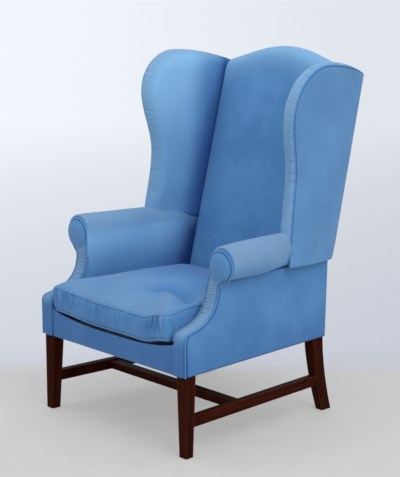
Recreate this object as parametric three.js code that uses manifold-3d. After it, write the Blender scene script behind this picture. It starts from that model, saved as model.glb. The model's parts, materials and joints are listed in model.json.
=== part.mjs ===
// Wingback armchair: a hardwood frame on an H stretcher, fixed upholstery and a loose seat cushion.
// Millimetres, +Z up. The chair faces -Y. Its origin is on the floor, under the middle of its outline.
// "left" is the -X side, on the left of someone who stands in front of the chair.
// Every depth is counted from the front face of the base until the whole chair is centred at the end.
import * as THREE from 'three';
import { mergeVertices } from 'three/addons/utils/BufferGeometryUtils.js';
import Module from 'manifold-3d';

const wasm = await Module();
wasm.setup();

// Clearances
const gap = 0.3;
const overrun = 5;
const woodRoom = 1.5;
const mergeDistance = 0.0003;

// Upholstered base, seen from above: a trapezium that narrows to the rear
const baseFrontWidth = 680;
const baseRearWidth = 600;
const baseDepth = 630;
const baseBottom = 246;
const deckTop = 308;
const coverDepth = 7;
const dustCoverDepth = 1.5;

// Arms
const armWidth = 54;
const armSetback = 139;
const kneeHeight = 366;
const seamDrop = 6;
const seamFall = 10;
const rollRadius = 50;
const rollHeight = 561;
const rollOverhang = 7;
const leanDrop = 91;
const shoulderRadius = 26;
const shoulderTurnShares = [0, 0.17, 0.28];
const rollTaper = 120;
const rollEndReach = 22;
const rollTaperShares = [0, 0.35, 0.65, 1];
const facingLip = 4;
const facingDepth = 12;
const kneeShares = [[0.28, 0.14], [1, 0.04]];
const kneeSteps = 14;

// Back and its camel crest
const outsideRake = 12.8;
const insideRake = 14.3;
const backThickness = 106;
const rakeStart = 505;
const insideBackHalf = 255.7;
const backPadDepth = 28;
const lowerBackLean = 8;
const upperBackProud = 14;
const crestHeight = 1132;
const crestRise = 62;
const crestHalfSpan = 290;
const crestPower = 0.7;
const crestRollHeight = 30;
const crestRollDrop = 8;

// Wings
const wingFootPlace = 418;
const wingFootDrop = 9;
const wingWaist = 27;
const wingWaistShare = 0.424;
const wingEarPlace = 419;
const wingEarShare = 0.736;
const wingEarDepth = 144;
const wingTopDrop = 19;
const wingFallPower = 1.4;
const wingDepth = 50;
const wingWaistHalf = 329;
const wingFootFlare = 13;
const wingEarFlare = 29;
const wingFlareDrop = 42;
const wingRearHalf = 306;
const wingRearDrop = 66;
const wingBelly = 12;
const wingSeamRise = 1;
const wingSeamInset = 7;
const wingNoseInner = 25;
const wingNoseOuter = 12;
const wingNoseShares = [0.6, 0.34];
const wingColumnShares = [0, 0.02, 0.05, 0.1, 0.2, 0.4, 0.7, 1];

// Legs and stretchers
const legTopSize = 40;
const legFootSize = 29;
const rearLegHalf = 293;
const rearLegDepth = 42;
const rearFootDepth = 39;
const rearFootWidth = 27;
const footSweep = 43;
const footSweepPower = 1.7;
const footRingShares = [0.15, 0.3, 0.45, 0.6, 0.8];
const stretcherTop = 121;
const stretcherHeight = 33;
const stretcherDepth = 22;
const stretcherInset = 12;
const crossStretcherPlace = 250;
const crossStretcherDepth = 32;
const crossStretcherHeight = 24;
const crossStretcherDrop = 5;
const crossTenonShoulder = 6;

// Frame members inside the upholstery
const railDepth = 27;
const railHeight = 42;
const scarfLength = 70;
const scarfTip = 4;
const postWidth = 32;
const postDepth = 43;
const postDrop = 82;
const postBend = 65;
const postBendDrop = 10;
const armPostDepth = 25;
const armPostWidth = 36;
const armRailWidth = 34;
const armRailHeight = 32;
const armRailOutset = 4;
const armRailDrop = 5;
const wingPostDepth = 30;
const wingPostWidth = 26;
const wingPostInset = 10;
const wingRailHeight = 30;
const wingRailInset = 12;
const crestRailHeight = 60;
const stayRailHeight = 50;
const stayRailDepth = 22;
const stayRailPlace = 365;
const blockReach = 61;
const blockDrop = 3;
const tenonLength = 18;
const tenonDepth = 9;
const tenonShoulder = 8;

// Springs, webbing and deck
const springWire = 3.5;
const springCount = 5;
const springSpacing = 92;
const springWaves = 9;
const springWaveWidth = 48;
const springArch = 2.5;
const deckDepth = 11;
const borderLip = 20;
const webWidth = 50;
const webDepth = 1.5;
const webColumns = 4;
const webRows = 5;
const webLap = 22;
const webPostRoom = 17.3;

// Loose seat cushion
const cushionSideRoom = 6.5;
const cushionFrontRoom = 5.5;
const cushionBackRoom = 6.5;
const boxingBottom = 317;
const boxingHeight = 76;
const cushionCrown = 60;
const cushionCorner = 26;
const cushionPull = 7;
const cushionBelly = 4;
const cushionUnderShares = [0.7, 0.12];
const cushionCrownShares = [0.08, 0.2, 0.36, 0.56, 0.8];
const cushionCrownPower = 2.4;
const boxingSteps = 4;
const coverCloth = 3;
const zipLength = 300;
const zipSlot = 4;
const zipReach = 12;
const weltDiameter = 5;

// Places worked out from the sizes above
const degrees = Math.PI / 180;
const outsideSlope = Math.tan(outsideRake * degrees);
const insideSlope = Math.tan(insideRake * degrees);
const sideSlope = (baseFrontWidth - baseRearWidth) / 2 / baseDepth;
const railBottom = baseBottom + dustCoverDepth + gap;
const railTop = railBottom + railHeight;
const legInset = coverDepth + legTopSize;
const railInset = coverDepth + railDepth;
const rearFace = baseDepth - coverDepth;
const rearLegFront = rearFace - rearLegDepth;
const rearLegInner = rearLegHalf - legTopSize;
const rearRailFront = rearFace - railDepth;
const deckBottom = deckTop - deckDepth;
const facingRear = armSetback + facingDepth;
const armPostFront = facingRear + gap;
const armPostRear = armPostFront + armPostDepth;
const armPostRadius = rollRadius - coverDepth;
const seamHeight = rollHeight - rollRadius - seamDrop;
const seamRear = seamHeight - seamFall;
const seatDepth = baseDepth - backThickness;
const leanHeight = rollHeight - leanDrop;
const armRailBase = rollHeight - armRailDrop;
const armRailTop = armRailBase + armRailHeight;
const postTop = crestHeight - postDrop;
const wingTopHeight = crestHeight - wingTopDrop;
const wingFlareHeight = crestHeight - wingFlareDrop;
const wingRearHeight = crestHeight - wingRearDrop;
const wingFootHeight = rollHeight - wingFootDrop;
const wingWaistHeight = wingFootHeight + wingWaistShare * (wingTopHeight - wingFootHeight);
const wingEarHeight = wingFootHeight + wingEarShare * (wingTopHeight - wingFootHeight);
const wingSeamRear = rollHeight + wingSeamRise;
const stretcherBottom = stretcherTop - stretcherHeight;
const boxingTop = boxingBottom + boxingHeight;
const weltReach = weltDiameter / 2 + gap;
const { clamp, lerp } = THREE.MathUtils;

// Half the base's width at a depth
function sideHalf(y) {
  return baseFrontWidth / 2 - sideSlope * y;
}

// Front face of the inside back
function insideBackY(z) {
  return seatDepth + (z - deckTop) * insideSlope;
}

// Outside of the back above the seam
function outsideBackY(z) {
  return baseDepth + lowerBackLean + upperBackProud + (z - rakeStart) * outsideSlope;
}

// Outside of the back below the seam
function lowerBackY(z) {
  return baseDepth + lowerBackLean * (z - baseBottom) / (seamRear - baseBottom);
}

// Camel crest: the height of the back's top at a distance from the middle
function crestZ(x) {
  const share = Math.min(Math.abs(x) / crestHalfSpan, 1);
  const hump = (1 + Math.cos(Math.PI * share)) / 2;
  return crestHeight - crestRise + crestRise * hump ** crestPower;
}

// A step from 0 to 1 with level ends
function ease(t) {
  const s = clamp(t, 0, 1);
  return s * s * (3 - 2 * s);
}

// Front edge of the wing in side view: waist, forward ear and round top
function wingFrontY(z) {
  const waistPlace = wingFootPlace + wingWaist;
  if (z < wingWaistHeight) {
    const climb = ease((z - wingFootHeight) / (wingWaistHeight - wingFootHeight));
    return lerp(wingFootPlace, waistPlace, climb);
  }
  if (z < wingEarHeight) {
    const climb = ease((z - wingWaistHeight) / (wingEarHeight - wingWaistHeight));
    return lerp(waistPlace, wingEarPlace, climb);
  }
  const rise = Math.min((z - wingEarHeight) / (wingTopHeight - wingEarHeight), 1);
  return wingEarPlace + wingEarDepth * (1 - Math.sqrt(1 - rise * rise));
}

// Top edge of the wing in side view: the round ear, then a fall to the rear
const wingCrownPlace = wingEarPlace + wingEarDepth;
const wingRearPlace = outsideBackY(wingRearHeight) - coverDepth;

function wingTopZ(y) {
  if (y < wingCrownPlace) {
    const back = (wingCrownPlace - y) / wingEarDepth;
    return wingEarHeight + (wingTopHeight - wingEarHeight) * Math.sqrt(Math.max(1 - back * back, 0));
  }
  const share = (y - wingCrownPlace) / (wingRearPlace - wingCrownPlace);
  return wingTopHeight - (wingTopHeight - wingRearHeight) * share ** wingFallPower;
}

// Half the width over the wings along their front edge: flared at the foot and at the ear
function wingFrontHalf(z) {
  if (z < wingWaistHeight) {
    const drop = Math.min((wingWaistHeight - z) / (wingWaistHeight - wingFootHeight), 1);
    return wingWaistHalf + wingFootFlare * drop * drop;
  }
  return wingWaistHalf + wingEarFlare * ease((z - wingWaistHeight) / (wingFlareHeight - wingWaistHeight));
}

function wingOuterX(y, z) {
  const front = wingFrontY(z);
  const share = clamp((y - front) / (outsideBackY(z) - front), 0, 1);
  return lerp(wingFrontHalf(z), wingRearHalf, share) + wingBelly * 4 * share * (1 - share);
}

function wingInnerX(y, z) {
  const front = wingFrontY(z);
  const share = clamp((y - front) / (insideBackY(z) - front), 0, 1);
  return lerp(wingFrontHalf(z) - wingDepth, insideBackHalf + gap, share);
}

// A closed set of triangles becomes a solid with its faces pointing out
function toSolid(geometry) {
  geometry.deleteAttribute('normal');
  geometry.deleteAttribute('uv');
  const merged = mergeVertices(geometry, mergeDistance);
  const places = merged.attributes.position.array;
  const corners = Uint32Array.from(merged.index.array);
  const [a, b, c] = [new THREE.Vector3(), new THREE.Vector3(), new THREE.Vector3()];
  let volume = 0;
  for (let i = 0; i < corners.length; i += 3) {
    a.fromArray(places, corners[i] * 3);
    b.fromArray(places, corners[i + 1] * 3);
    c.fromArray(places, corners[i + 2] * 3);
    volume += a.dot(b.cross(c));
  }
  if (volume < 0) {
    for (let i = 0; i < corners.length; i += 3) {
      [corners[i], corners[i + 1]] = [corners[i + 1], corners[i]];
    }
  }
  const vertProperties = Float32Array.from(places);
  return new wasm.Manifold(new wasm.Mesh({ numProp: 3, vertProperties, triVerts: corners }));
}

// Moves every corner of a geometry to the place that a function gives it
function bend(geometry, place) {
  const position = geometry.attributes.position;
  for (let i = 0; i < position.count; i += 1) {
    position.setXYZ(i, ...place(position.getX(i), position.getY(i), position.getZ(i)));
  }
  return geometry;
}

function extrude(points, depth) {
  const shape = new THREE.Shape(points.map(([x, y]) => new THREE.Vector2(x, y)));
  return new THREE.ExtrudeGeometry(shape, { depth, bevelEnabled: false, steps: 1 });
}

function rectangle(left, right, bottom, top) {
  return [[left, bottom], [right, bottom], [right, top], [left, top]];
}

// An outline in side view (y, z), given a width between two insets from the right side
function sidePrism(points, nearInset, farInset) {
  const geometry = extrude(points, farInset - nearInset);
  return toSolid(bend(geometry, (y, z, inset) => [sideHalf(y) - nearInset - inset, y, z]));
}

// The same between two fixed distances from the middle
function plainPrism(points, nearX, farX) {
  const geometry = extrude(points, farX - nearX);
  return toSolid(bend(geometry, (y, z, x) => [nearX + x, y, z]));
}

// An outline in side view that runs right across the chair, out to half widths that follow its depth
function crossPrism(points, halfAt) {
  const geometry = extrude(points, 1);
  return toSolid(bend(geometry, (y, z, end) => [(end > 0 ? 1 : -1) * halfAt(y), y, z]));
}

// An outline in plan (inset, y) behind the right side, between two heights
function planPrism(points, bottom, top) {
  const geometry = extrude(points, top - bottom);
  return toSolid(bend(geometry, (inset, y, rise) => [sideHalf(y) - inset, y, bottom + rise]));
}

// A round bar along the right side of the chair, centred at an inset
function sideBar(radius, inset, height, nearY, farY, sides) {
  const middle = (nearY + farY) / 2;
  const geometry = new THREE.CylinderGeometry(radius, radius, farY - nearY, sides);
  return toSolid(bend(geometry, (a, y, b) => [sideHalf(middle + y) - inset - a, middle + y, height + b]));
}

// Triangles that close a ring of corners, turned one way or the other
function endFaces(ring, forward) {
  const spread = [0, 1, 2].map((axis) => {
    const values = ring.map((corner) => corner[axis]);
    return Math.max(...values) - Math.min(...values);
  });
  const thin = spread.indexOf(Math.min(...spread));
  const flat = ring.map((corner) => new THREE.Vector2(...corner.filter((value, axis) => axis !== thin)));
  const turn = THREE.ShapeUtils.area(flat);
  return THREE.ShapeUtils.triangulateShape(flat, []).map((face) => {
    const alike = THREE.ShapeUtils.area(face.map((k) => flat[k])) * turn > 0;
    return alike === forward ? face : [...face].reverse();
  });
}

// A solid lofted through rings of corners, with flat ends, or closed on itself
function loft(rings, closed = false) {
  const size = rings[0].length;
  const bands = closed ? rings.length : rings.length - 1;
  const faces = [];
  for (let r = 0; r < bands; r += 1) {
    const next = ((r + 1) % rings.length) * size;
    for (let k = 0; k < size; k += 1) {
      const [a, b] = [k, (k + 1) % size];
      faces.push(r * size + a, r * size + b, next + b, r * size + a, next + b, next + a);
    }
  }
  if (!closed) {
    const last = (rings.length - 1) * size;
    endFaces(rings[0], false).forEach((face) => faces.push(...face));
    endFaces(rings.at(-1), true).forEach((face) => faces.push(...face.map((k) => last + k)));
  }
  const geometry = new THREE.BufferGeometry();
  geometry.setAttribute('position', new THREE.Float32BufferAttribute(rings.flat(2), 3));
  geometry.setIndex(faces);
  return toSolid(geometry);
}

// A ring with four corners at one height
function squareRing(x0, x1, y0, y1, z) {
  return [[x0, y0, z], [x1, y0, z], [x1, y1, z], [x0, y1, z]];
}

function cut(solid, ...cutters) {
  return cutters.reduce((left, cutter) => left.subtract(cutter), solid);
}

function join(...solids) {
  return solids.reduce((whole, solid) => whole.add(solid));
}

// The same solid on the other side of the chair
function mirrored(solid) {
  const mesh = solid.getMesh();
  const vertProperties = Float32Array.from(mesh.vertProperties);
  for (let i = 0; i < vertProperties.length; i += 3) vertProperties[i] *= -1;
  const triVerts = Uint32Array.from(mesh.triVerts);
  for (let i = 0; i < triVerts.length; i += 3) {
    [triVerts[i], triVerts[i + 1]] = [triVerts[i + 1], triVerts[i]];
  }
  return new wasm.Manifold(new wasm.Mesh({ numProp: 3, vertProperties, triVerts }));
}

// Every builder below takes the room to leave round the piece, so that a neighbour can be cut by it

// Front leg: square at the top, tapered on its two inner faces
function frontLeg(room = 0) {
  const corner = coverDepth - room;
  const ring = (size, z) => {
    const reach = coverDepth + size + room;
    return [[corner, corner], [reach, corner], [reach, reach], [corner, reach]]
      .map(([inset, y]) => [sideHalf(y) - inset, y, z]);
  };
  return loft([
    ring(legFootSize, -room),
    ring(legTopSize, baseBottom),
    ring(legTopSize, railTop + room),
  ]);
}

// How far the rear leg has swept back at a height
function legSweep(z) {
  return footSweep * Math.max((baseBottom - z) / baseBottom, 0) ** footSweepPower;
}

// Rear leg: a sabre leg that ends in a long scarf for the back post
function rearLeg(room = 0) {
  const ring = (z) => {
    const height = clamp(z, 0, baseBottom) / baseBottom;
    const width = lerp(rearFootWidth, legTopSize, height);
    const depth = lerp(rearFootDepth, rearLegDepth, height);
    const back = rearFace + legSweep(Math.max(z, 0));
    return squareRing(rearLegHalf - width - room, rearLegHalf + room, back - depth - room, back + room, z);
  };
  const heights = footRingShares.map((share) => share * baseBottom);
  const scarf = squareRing(
    rearLegInner - room,
    rearLegHalf + room,
    rearFace - scarfTip - room,
    rearFace + room,
    railTop + scarfLength + room,
  );
  return loft([ring(-room), ...heights.map(ring), ring(baseBottom), ring(railTop), scarf]);
}

// Back post: scarfed to the rear leg, upright to the seam and raked above it
function backPost(room = 0) {
  const scarfRoom = 2 * gap - room;
  const bendBottom = rakeStart - postBendDrop;
  const bendTop = bendBottom + postBend;
  const raked = (z) => outsideBackY(z) - coverDepth;
  const top = postTop + room;
  const outline = [
    [rearLegFront - room, railTop + scarfRoom],
    [rearFace - scarfTip, railTop + scarfLength + scarfRoom],
    [rearFace + room, railTop + scarfLength + scarfRoom],
    [rearFace + room, bendBottom],
    [raked(bendTop) + room, bendTop],
    [raked(top) + room, top],
    [raked(top) - postDepth - room, top],
    [raked(bendTop) - postDepth - room, bendTop],
    [rearLegFront - room, bendBottom - postDepth],
  ];
  return plainPrism(outline, rearLegHalf - postWidth - room, rearLegHalf + room);
}

// Seat rails, each with a tenon at both ends
function frontRail(room = 0) {
  const [near, far] = [coverDepth - room, railInset + room];
  const outline = rectangle(near, far, railBottom - room, railTop + room);
  return crossPrism(outline, (y) => sideHalf(y) - legInset - gap);
}

function frontRailTenon(room = 0) {
  const near = coverDepth + (railDepth - tenonDepth) / 2 - room;
  const far = near + tenonDepth + 2 * room;
  const heights = [railBottom + tenonShoulder - room, railTop - tenonShoulder + room];
  return crossPrism(rectangle(near, far, ...heights), (y) => sideHalf(y) - legInset + tenonLength + room);
}

function rearRail(room = 0) {
  const outline = rectangle(rearRailFront - room, rearFace + room, railBottom - room, railTop + room);
  return crossPrism(outline, () => rearLegInner - gap);
}

function rearRailTenon(room = 0) {
  const near = rearRailFront + (railDepth - tenonDepth) / 2 - room;
  const far = near + tenonDepth + 2 * room;
  const heights = [railBottom + tenonShoulder - room, railTop - tenonShoulder + room];
  return crossPrism(rectangle(near, far, ...heights), () => rearLegInner + tenonLength / 2 + room);
}

function sideRail(room = 0) {
  const outline = rectangle(legInset + gap, rearLegFront - gap, railBottom - room, railTop + room);
  return sidePrism(outline, coverDepth - room, railInset + room);
}

function sideRailTenon(room = 0) {
  const near = coverDepth + (railDepth - tenonDepth) / 2 - room;
  const outline = rectangle(
    legInset - tenonLength - room,
    rearLegFront + tenonLength / 2 + room,
    railBottom + tenonShoulder - room,
    railTop - tenonShoulder + room,
  );
  return sidePrism(outline, near, near + tenonDepth + 2 * room);
}

// Side stretcher: shouldered against the tapered legs, with a thinner tenon into each
function sideStretcherTenon(room = 0) {
  const near = stretcherInset + (stretcherDepth - tenonDepth) / 2 - room;
  const outline = rectangle(
    legInset - tenonLength - room,
    rearLegFront + legSweep(stretcherBottom) + tenonLength + room,
    stretcherBottom + tenonShoulder - room,
    stretcherTop - tenonShoulder + room,
  );
  return sidePrism(outline, near, near + tenonDepth + 2 * room);
}

function sideStretcher() {
  const [near, far] = [legInset - tenonLength, rearLegFront + tenonLength];
  const outline = rectangle(near, far, stretcherBottom, stretcherTop);
  const bar = sidePrism(outline, stretcherInset, stretcherInset + stretcherDepth);
  return join(cut(bar, frontLeg(gap), rearLeg(gap)), sideStretcherTenon());
}

// Cross stretcher between the two side stretchers
const crossTop = stretcherTop - crossStretcherDrop;
const crossBottom = crossTop - crossStretcherHeight;
const crossFront = crossStretcherPlace - crossStretcherDepth / 2;
const crossShoulder = stretcherInset + stretcherDepth;

function crossStretcher() {
  const outline = rectangle(crossFront, crossFront + crossStretcherDepth, crossBottom, crossTop);
  return crossPrism(outline, (y) => sideHalf(y) - crossShoulder - gap);
}

function crossTenon(room = 0) {
  const outline = rectangle(
    crossFront + crossTenonShoulder - room,
    crossFront + crossStretcherDepth - crossTenonShoulder + room,
    crossBottom + crossTenonShoulder - room,
    crossTop - crossTenonShoulder + room,
  );
  return crossPrism(outline, (y) => sideHalf(y) - crossShoulder + stretcherDepth / 2 + room);
}

// Three-cornered blocks glued into the corners of the seat frame
function frontBlock() {
  const corner = railInset + gap;
  const block = planPrism(
    [[corner, corner], [corner + blockReach, corner], [corner, corner + blockReach]],
    railBottom + blockDrop,
    railTop - blockDrop,
  );
  return cut(block, frontLeg(gap));
}

function rearBlock() {
  const [corner, back] = [railInset + gap, rearRailFront - gap];
  const block = planPrism(
    [[corner, back], [corner + blockReach, back], [corner, back - blockReach]],
    railBottom + blockDrop,
    railTop - blockDrop,
  );
  return cut(block, rearLeg(gap));
}

// Arm post: a board behind the facing, cut to the scroll
function armPost(room = 0) {
  const outline = rectangle(armPostFront - room, armPostRear + room, railTop + gap - room, rollHeight);
  const stem = sidePrism(outline, coverDepth - room, coverDepth + armPostWidth + room);
  const radius = armPostRadius + room;
  const sides = 28;
  const head = sideBar(radius, -rollOverhang, rollHeight, armPostFront - room, armPostRear + room, sides);
  return join(stem, head);
}

// Arm rail: from the arm post back to the back post
function armRail(room = 0) {
  const backPostFront = outsideBackY(armRailBase) - coverDepth - postDepth;
  const outline = rectangle(
    armPostRear + gap - room,
    backPostFront - gap - woodRoom + room,
    armRailBase - room,
    armRailTop + room,
  );
  return sidePrism(outline, -armRailOutset - room, armRailWidth - armRailOutset + room);
}

// Wing post: follows the wing's front edge up from the arm rail
function wingPost(room = 0) {
  const bottom = armRailTop + gap - room;
  const steps = 7;
  const opened = room > 0 ? overrun : 0;
  const rings = [];
  for (let i = 0; i <= steps; i += 1) {
    const z = lerp(bottom, postTop + room, i / steps);
    const front = wingFrontY(z) + wingPostInset - room;
    const back = front + wingPostDepth + 2 * room;
    const outer = (y) => wingOuterX(y, z) - coverDepth - woodRoom;
    rings.push([
      [outer(front) + opened, front, z],
      [outer(back) + opened, back, z],
      [outer(back) - wingPostWidth - room, back, z],
      [outer(front) - wingPostWidth - room, front, z],
    ]);
  }
  return loft(rings);
}

// Wing rail: under the wing's top edge, from the wing post to the back post
function wingRail(room = 0) {
  const opened = room > 0 ? overrun : 0;
  const start = wingFrontY(postTop) + wingPostInset + wingPostDepth / 2;
  const end = outsideBackY(postTop - wingRailHeight) - coverDepth - postDepth - gap;
  const steps = 6;
  const rings = [];
  for (let i = 0; i <= steps; i += 1) {
    const y = lerp(start, end + room, i / steps);
    const top = Math.min(wingTopZ(y) - wingRailInset, postTop + wingRailHeight / 2) + room;
    const bottom = top - wingRailHeight - 2 * room;
    const outer = (z) => wingOuterX(y, z) - coverDepth - woodRoom;
    rings.push([
      [outer(bottom) + opened, y, bottom],
      [outer(top) + opened, y, top],
      [outer(top) - wingPostWidth - room, y, top],
      [outer(bottom) - wingPostWidth - room, y, bottom],
    ]);
  }
  return loft(rings);
}

// Rails of the back: the crest rail follows the camel top, the stay rail holds the webbing's foot
function backRail(bottomAt, height, depthAt, room) {
  const half = rearLegHalf - postWidth - gap;
  const front = backPadDepth + webDepth + 2 * gap - room;
  const steps = 12;
  const rings = [];
  for (let i = 0; i <= steps; i += 1) {
    const x = lerp(-half, half, i / steps);
    const bottom = bottomAt(x) - room;
    const top = bottom + height + 2 * room;
    const [low, high] = [insideBackY(bottom) + front, insideBackY(top) + front];
    const [lowRear, highRear] = [low + depthAt(bottom) + 2 * room, high + depthAt(top) + 2 * room];
    rings.push([[x, low, bottom], [x, lowRear, bottom], [x, highRear, top], [x, high, top]]);
  }
  return loft(rings);
}

const backPanelTop = (x) => crestZ(x) - crestRollHeight - crestRollDrop - gap;
const crestRailTop = (x) => backPanelTop(x) - woodRoom;

// Depth left for the crest rail between the webbing and the outside back
function crestRailDepth(z) {
  const inside = insideBackY(z) + backPadDepth + webDepth + 2 * gap;
  return outsideBackY(z) - coverDepth - woodRoom - inside;
}

function crestRail(room = 0) {
  return backRail((x) => crestRailTop(x) - crestRailHeight, crestRailHeight, crestRailDepth, room);
}

function stayRail(room = 0) {
  return backRail(() => stayRailPlace, stayRailHeight, () => stayRailDepth, room);
}

// Woven webbing between the stay rail and the crest rail
function backWebbing() {
  const strap = (x0, x1, bottom, top) => {
    const near = backPadDepth + gap;
    const outline = [
      [insideBackY(bottom) + near, bottom],
      [insideBackY(bottom) + near + webDepth, bottom],
      [insideBackY(top) + near + webDepth, top],
      [insideBackY(top) + near, top],
    ];
    return plainPrism(outline, x0, x1);
  };
  const foot = stayRailPlace + stayRailHeight - webLap;
  const pitch = 2 * insideBackHalf / (webColumns + 1);
  const straps = [];
  for (let column = 1; column <= webColumns; column += 1) {
    const x = -insideBackHalf + column * pitch;
    const head = crestRailTop(Math.abs(x) + webWidth / 2) - crestRailHeight + webLap;
    straps.push(strap(x - webWidth / 2, x + webWidth / 2, foot, head));
  }
  const lowestHead = crestRailTop(insideBackHalf) - crestRailHeight;
  const climb = (lowestHead - foot) / (webRows + 1);
  for (let row = 1; row <= webRows; row += 1) {
    const z = foot + row * climb;
    const reach = rearLegHalf - postWidth - webPostRoom;
    straps.push(strap(-reach, reach, z - webWidth / 2, z + webWidth / 2));
  }
  return join(...straps);
}

// Zigzag seat spring: one wire that rides over the front and rear rails
function seatSpring(x) {
  const sides = 5;
  const stepsPerWave = 6;
  const [start, end] = [borderLip + 2 * gap + springWire / 2, rearRailFront + railDepth / 2];
  const radius = springWire / 2;
  const steps = springWaves * stepsPerWave;
  const straight = (end - start) / steps;
  const path = [];
  for (let i = 0; i <= steps; i += 1) {
    const share = i / steps;
    const swing = Math.sin(2 * Math.PI * springWaves * share) * springWaveWidth / 2;
    const arch = springArch * Math.sin(Math.PI * share);
    path.push(new THREE.Vector3(x + swing, start + i * straight, railTop + gap + radius + arch));
  }
  const rings = path.map((point, i) => {
    const along = path[Math.min(i + 1, steps)].clone().sub(path[Math.max(i - 1, 0)]).normalize();
    const across = new THREE.Vector3(0, 0, 1).cross(along).normalize();
    const up = along.clone().cross(across);
    return Array.from({ length: sides }, (unused, k) => {
      const angle = 2 * Math.PI * k / sides;
      const corner = point.clone();
      corner.addScaledVector(across, radius * Math.cos(angle));
      corner.addScaledVector(up, radius * Math.sin(angle));
      return corner.toArray();
    });
  });
  return loft(rings);
}

// Knee of the arm facing in side view, from the front post up to the neck of the scroll
function kneeLine() {
  const rise = rollHeight - rollRadius - kneeHeight;
  const handle = ([forward, up]) => new THREE.Vector2(forward * armSetback, kneeHeight + up * rise);
  const curve = new THREE.CubicBezierCurve(
    new THREE.Vector2(0, kneeHeight),
    handle(kneeShares[0]),
    handle(kneeShares[1]),
    new THREE.Vector2(armSetback, kneeHeight + rise),
  );
  return curve.getPoints(kneeSteps).map((point) => [point.x, point.y]);
}

// Arm facing: the S-shaped front of the arm and the face of its scroll
function armFacing(room = 0) {
  const knee = kneeLine().map(([y, z]) => [y - room, z + room]);
  const outline = [
    [-room, baseBottom],
    ...knee,
    [armSetback - room, rollHeight],
    [facingRear + room, rollHeight],
    [facingRear + room, railTop + gap - room],
    [coverDepth - gap + room, railTop + gap - room],
    [coverDepth - gap + room, baseBottom],
  ];
  const stem = sidePrism(outline, coverDepth - room, armWidth + room);
  const radius = rollRadius - facingLip + room;
  const sides = 32;
  const scroll = sideBar(radius, -rollOverhang, rollHeight, armSetback - room, facingRear + room, sides);
  return join(cut(stem, leanWedge(rollRadius - rollOverhang - facingLip, room)), scroll);
}

// Wedge that leans the inside of the arm outwards, from the middle of the arm up into the roll
function leanWedge(topInset, room) {
  const far = armWidth * 2;
  const height = rollHeight + rollRadius;
  const section = [
    [armWidth + room, leanHeight],
    [topInset + room, rollHeight],
    [topInset + room, height],
    [far, height],
    [far, leanHeight],
  ];
  const places = [-overrun, armPostRear];
  return loft(places.map((y) => section.map(([inset, z]) => [sideHalf(y) - inset, y, z])));
}

// Inside arm: upright from the rail, with a round shoulder that carries the wing behind the roll
function armSlab(room = 0) {
  const shoulderAngles = shoulderTurnShares.map((share) => share * Math.PI);
  const section = (y, rear) => {
    const radius = lerp(rollRadius, shoulderRadius, rear);
    const inset = lerp(-rollOverhang, armWidth - shoulderRadius, rear);
    const height = lerp(rollHeight, wingSeamRear - shoulderRadius, rear);
    const shoulder = shoulderAngles.map((angle) => [
      inset + (radius + room) * Math.cos(angle),
      height + (radius + room) * Math.sin(angle),
    ]);
    const outline = [
      [coverDepth - room, railTop + gap],
      [armWidth + room, railTop + gap],
      [armWidth + room, leanHeight],
      ...shoulder,
      [coverDepth - room, shoulder.at(-1)[1]],
    ];
    return outline.map(([u, z]) => [sideHalf(y) - u, y, z]);
  };
  const back = rearLegFront - gap;
  return loft([section(facingRear + gap, 0), section(wingFootPlace, 0), section(back, 1)]);
}

// Roll of the arm: its outer half narrows towards the rear until it is flush with the wing
function armRoll() {
  const sides = 36;
  const end = wingFootPlace - gap;
  const places = [armSetback, ...rollTaperShares.map((share) => lerp(end - rollTaper, end, share))];
  return loft(places.map((y) => {
    const reach = lerp(rollRadius, rollEndReach, ease((y - end + rollTaper) / rollTaper));
    return Array.from({ length: sides }, (unused, k) => {
      const angle = 2 * Math.PI * k / sides;
      const across = Math.cos(angle) * (Math.cos(angle) < 0 ? reach : rollRadius);
      return [sideHalf(y) + rollOverhang - across, y, rollHeight + rollRadius * Math.sin(angle)];
    });
  }));
}

// Arm pad: the inside arm with the roll that runs back to the wing
function armPad() {
  return cut(
    join(armSlab(), armRoll()),
    armFacing(gap),
    armPost(gap),
    armRail(gap),
    wingPost(gap),
    backPad(gap),
    stayRail(gap),
  );
}

// Outside arm panel: from the front corner under the knee and the roll to the rear corner
function outsideArm() {
  const outline = [
    [0, baseBottom],
    ...kneeLine().filter(([y, z]) => z < seamHeight),
    [armSetback, seamHeight],
    [wingFootPlace, seamHeight],
    [lowerBackY(seamRear), seamRear],
    [lowerBackY(baseBottom), baseBottom],
  ];
  return sidePrism(outline, 0, coverDepth - gap);
}

// Rows of places on the wing in side view: each runs from its front and top edge to its rear edge
function wingRows(inset) {
  const bottom = seamHeight + gap;
  const front = [[wingFootPlace, bottom]];
  const footSteps = 4;
  for (let i = 0; i < footSteps; i += 1) {
    const z = lerp(wingFootHeight, wingWaistHeight, i / footSteps);
    front.push([wingFrontY(z), z]);
  }
  const earSteps = 4;
  for (let i = 0; i < earSteps; i += 1) {
    const z = lerp(wingWaistHeight, wingEarHeight, i / earSteps);
    front.push([wingFrontY(z), z]);
  }
  const roundSteps = 7;
  for (let i = 0; i < roundSteps; i += 1) {
    const angle = Math.PI / 2 * i / roundSteps;
    const y = wingCrownPlace - wingEarDepth * Math.cos(angle);
    front.push([y, wingTopZ(y)]);
  }
  const topSteps = 4;
  for (let i = 0; i <= topSteps; i += 1) {
    const y = lerp(wingCrownPlace, wingRearPlace, i / topSteps);
    front.push([y, wingTopZ(y)]);
  }
  return front.map(([y, z], i) => {
    const height = lerp(seamRear + gap, wingRearHeight, i / (front.length - 1));
    const rear = outsideBackY(height);
    const start = inset / Math.hypot(rear - y, height - z);
    return wingColumnShares.map((share) => {
      const along = lerp(Math.min(start, 1), 1, share);
      return [lerp(y, rear, along), lerp(z, height, along)];
    });
  });
}

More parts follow.
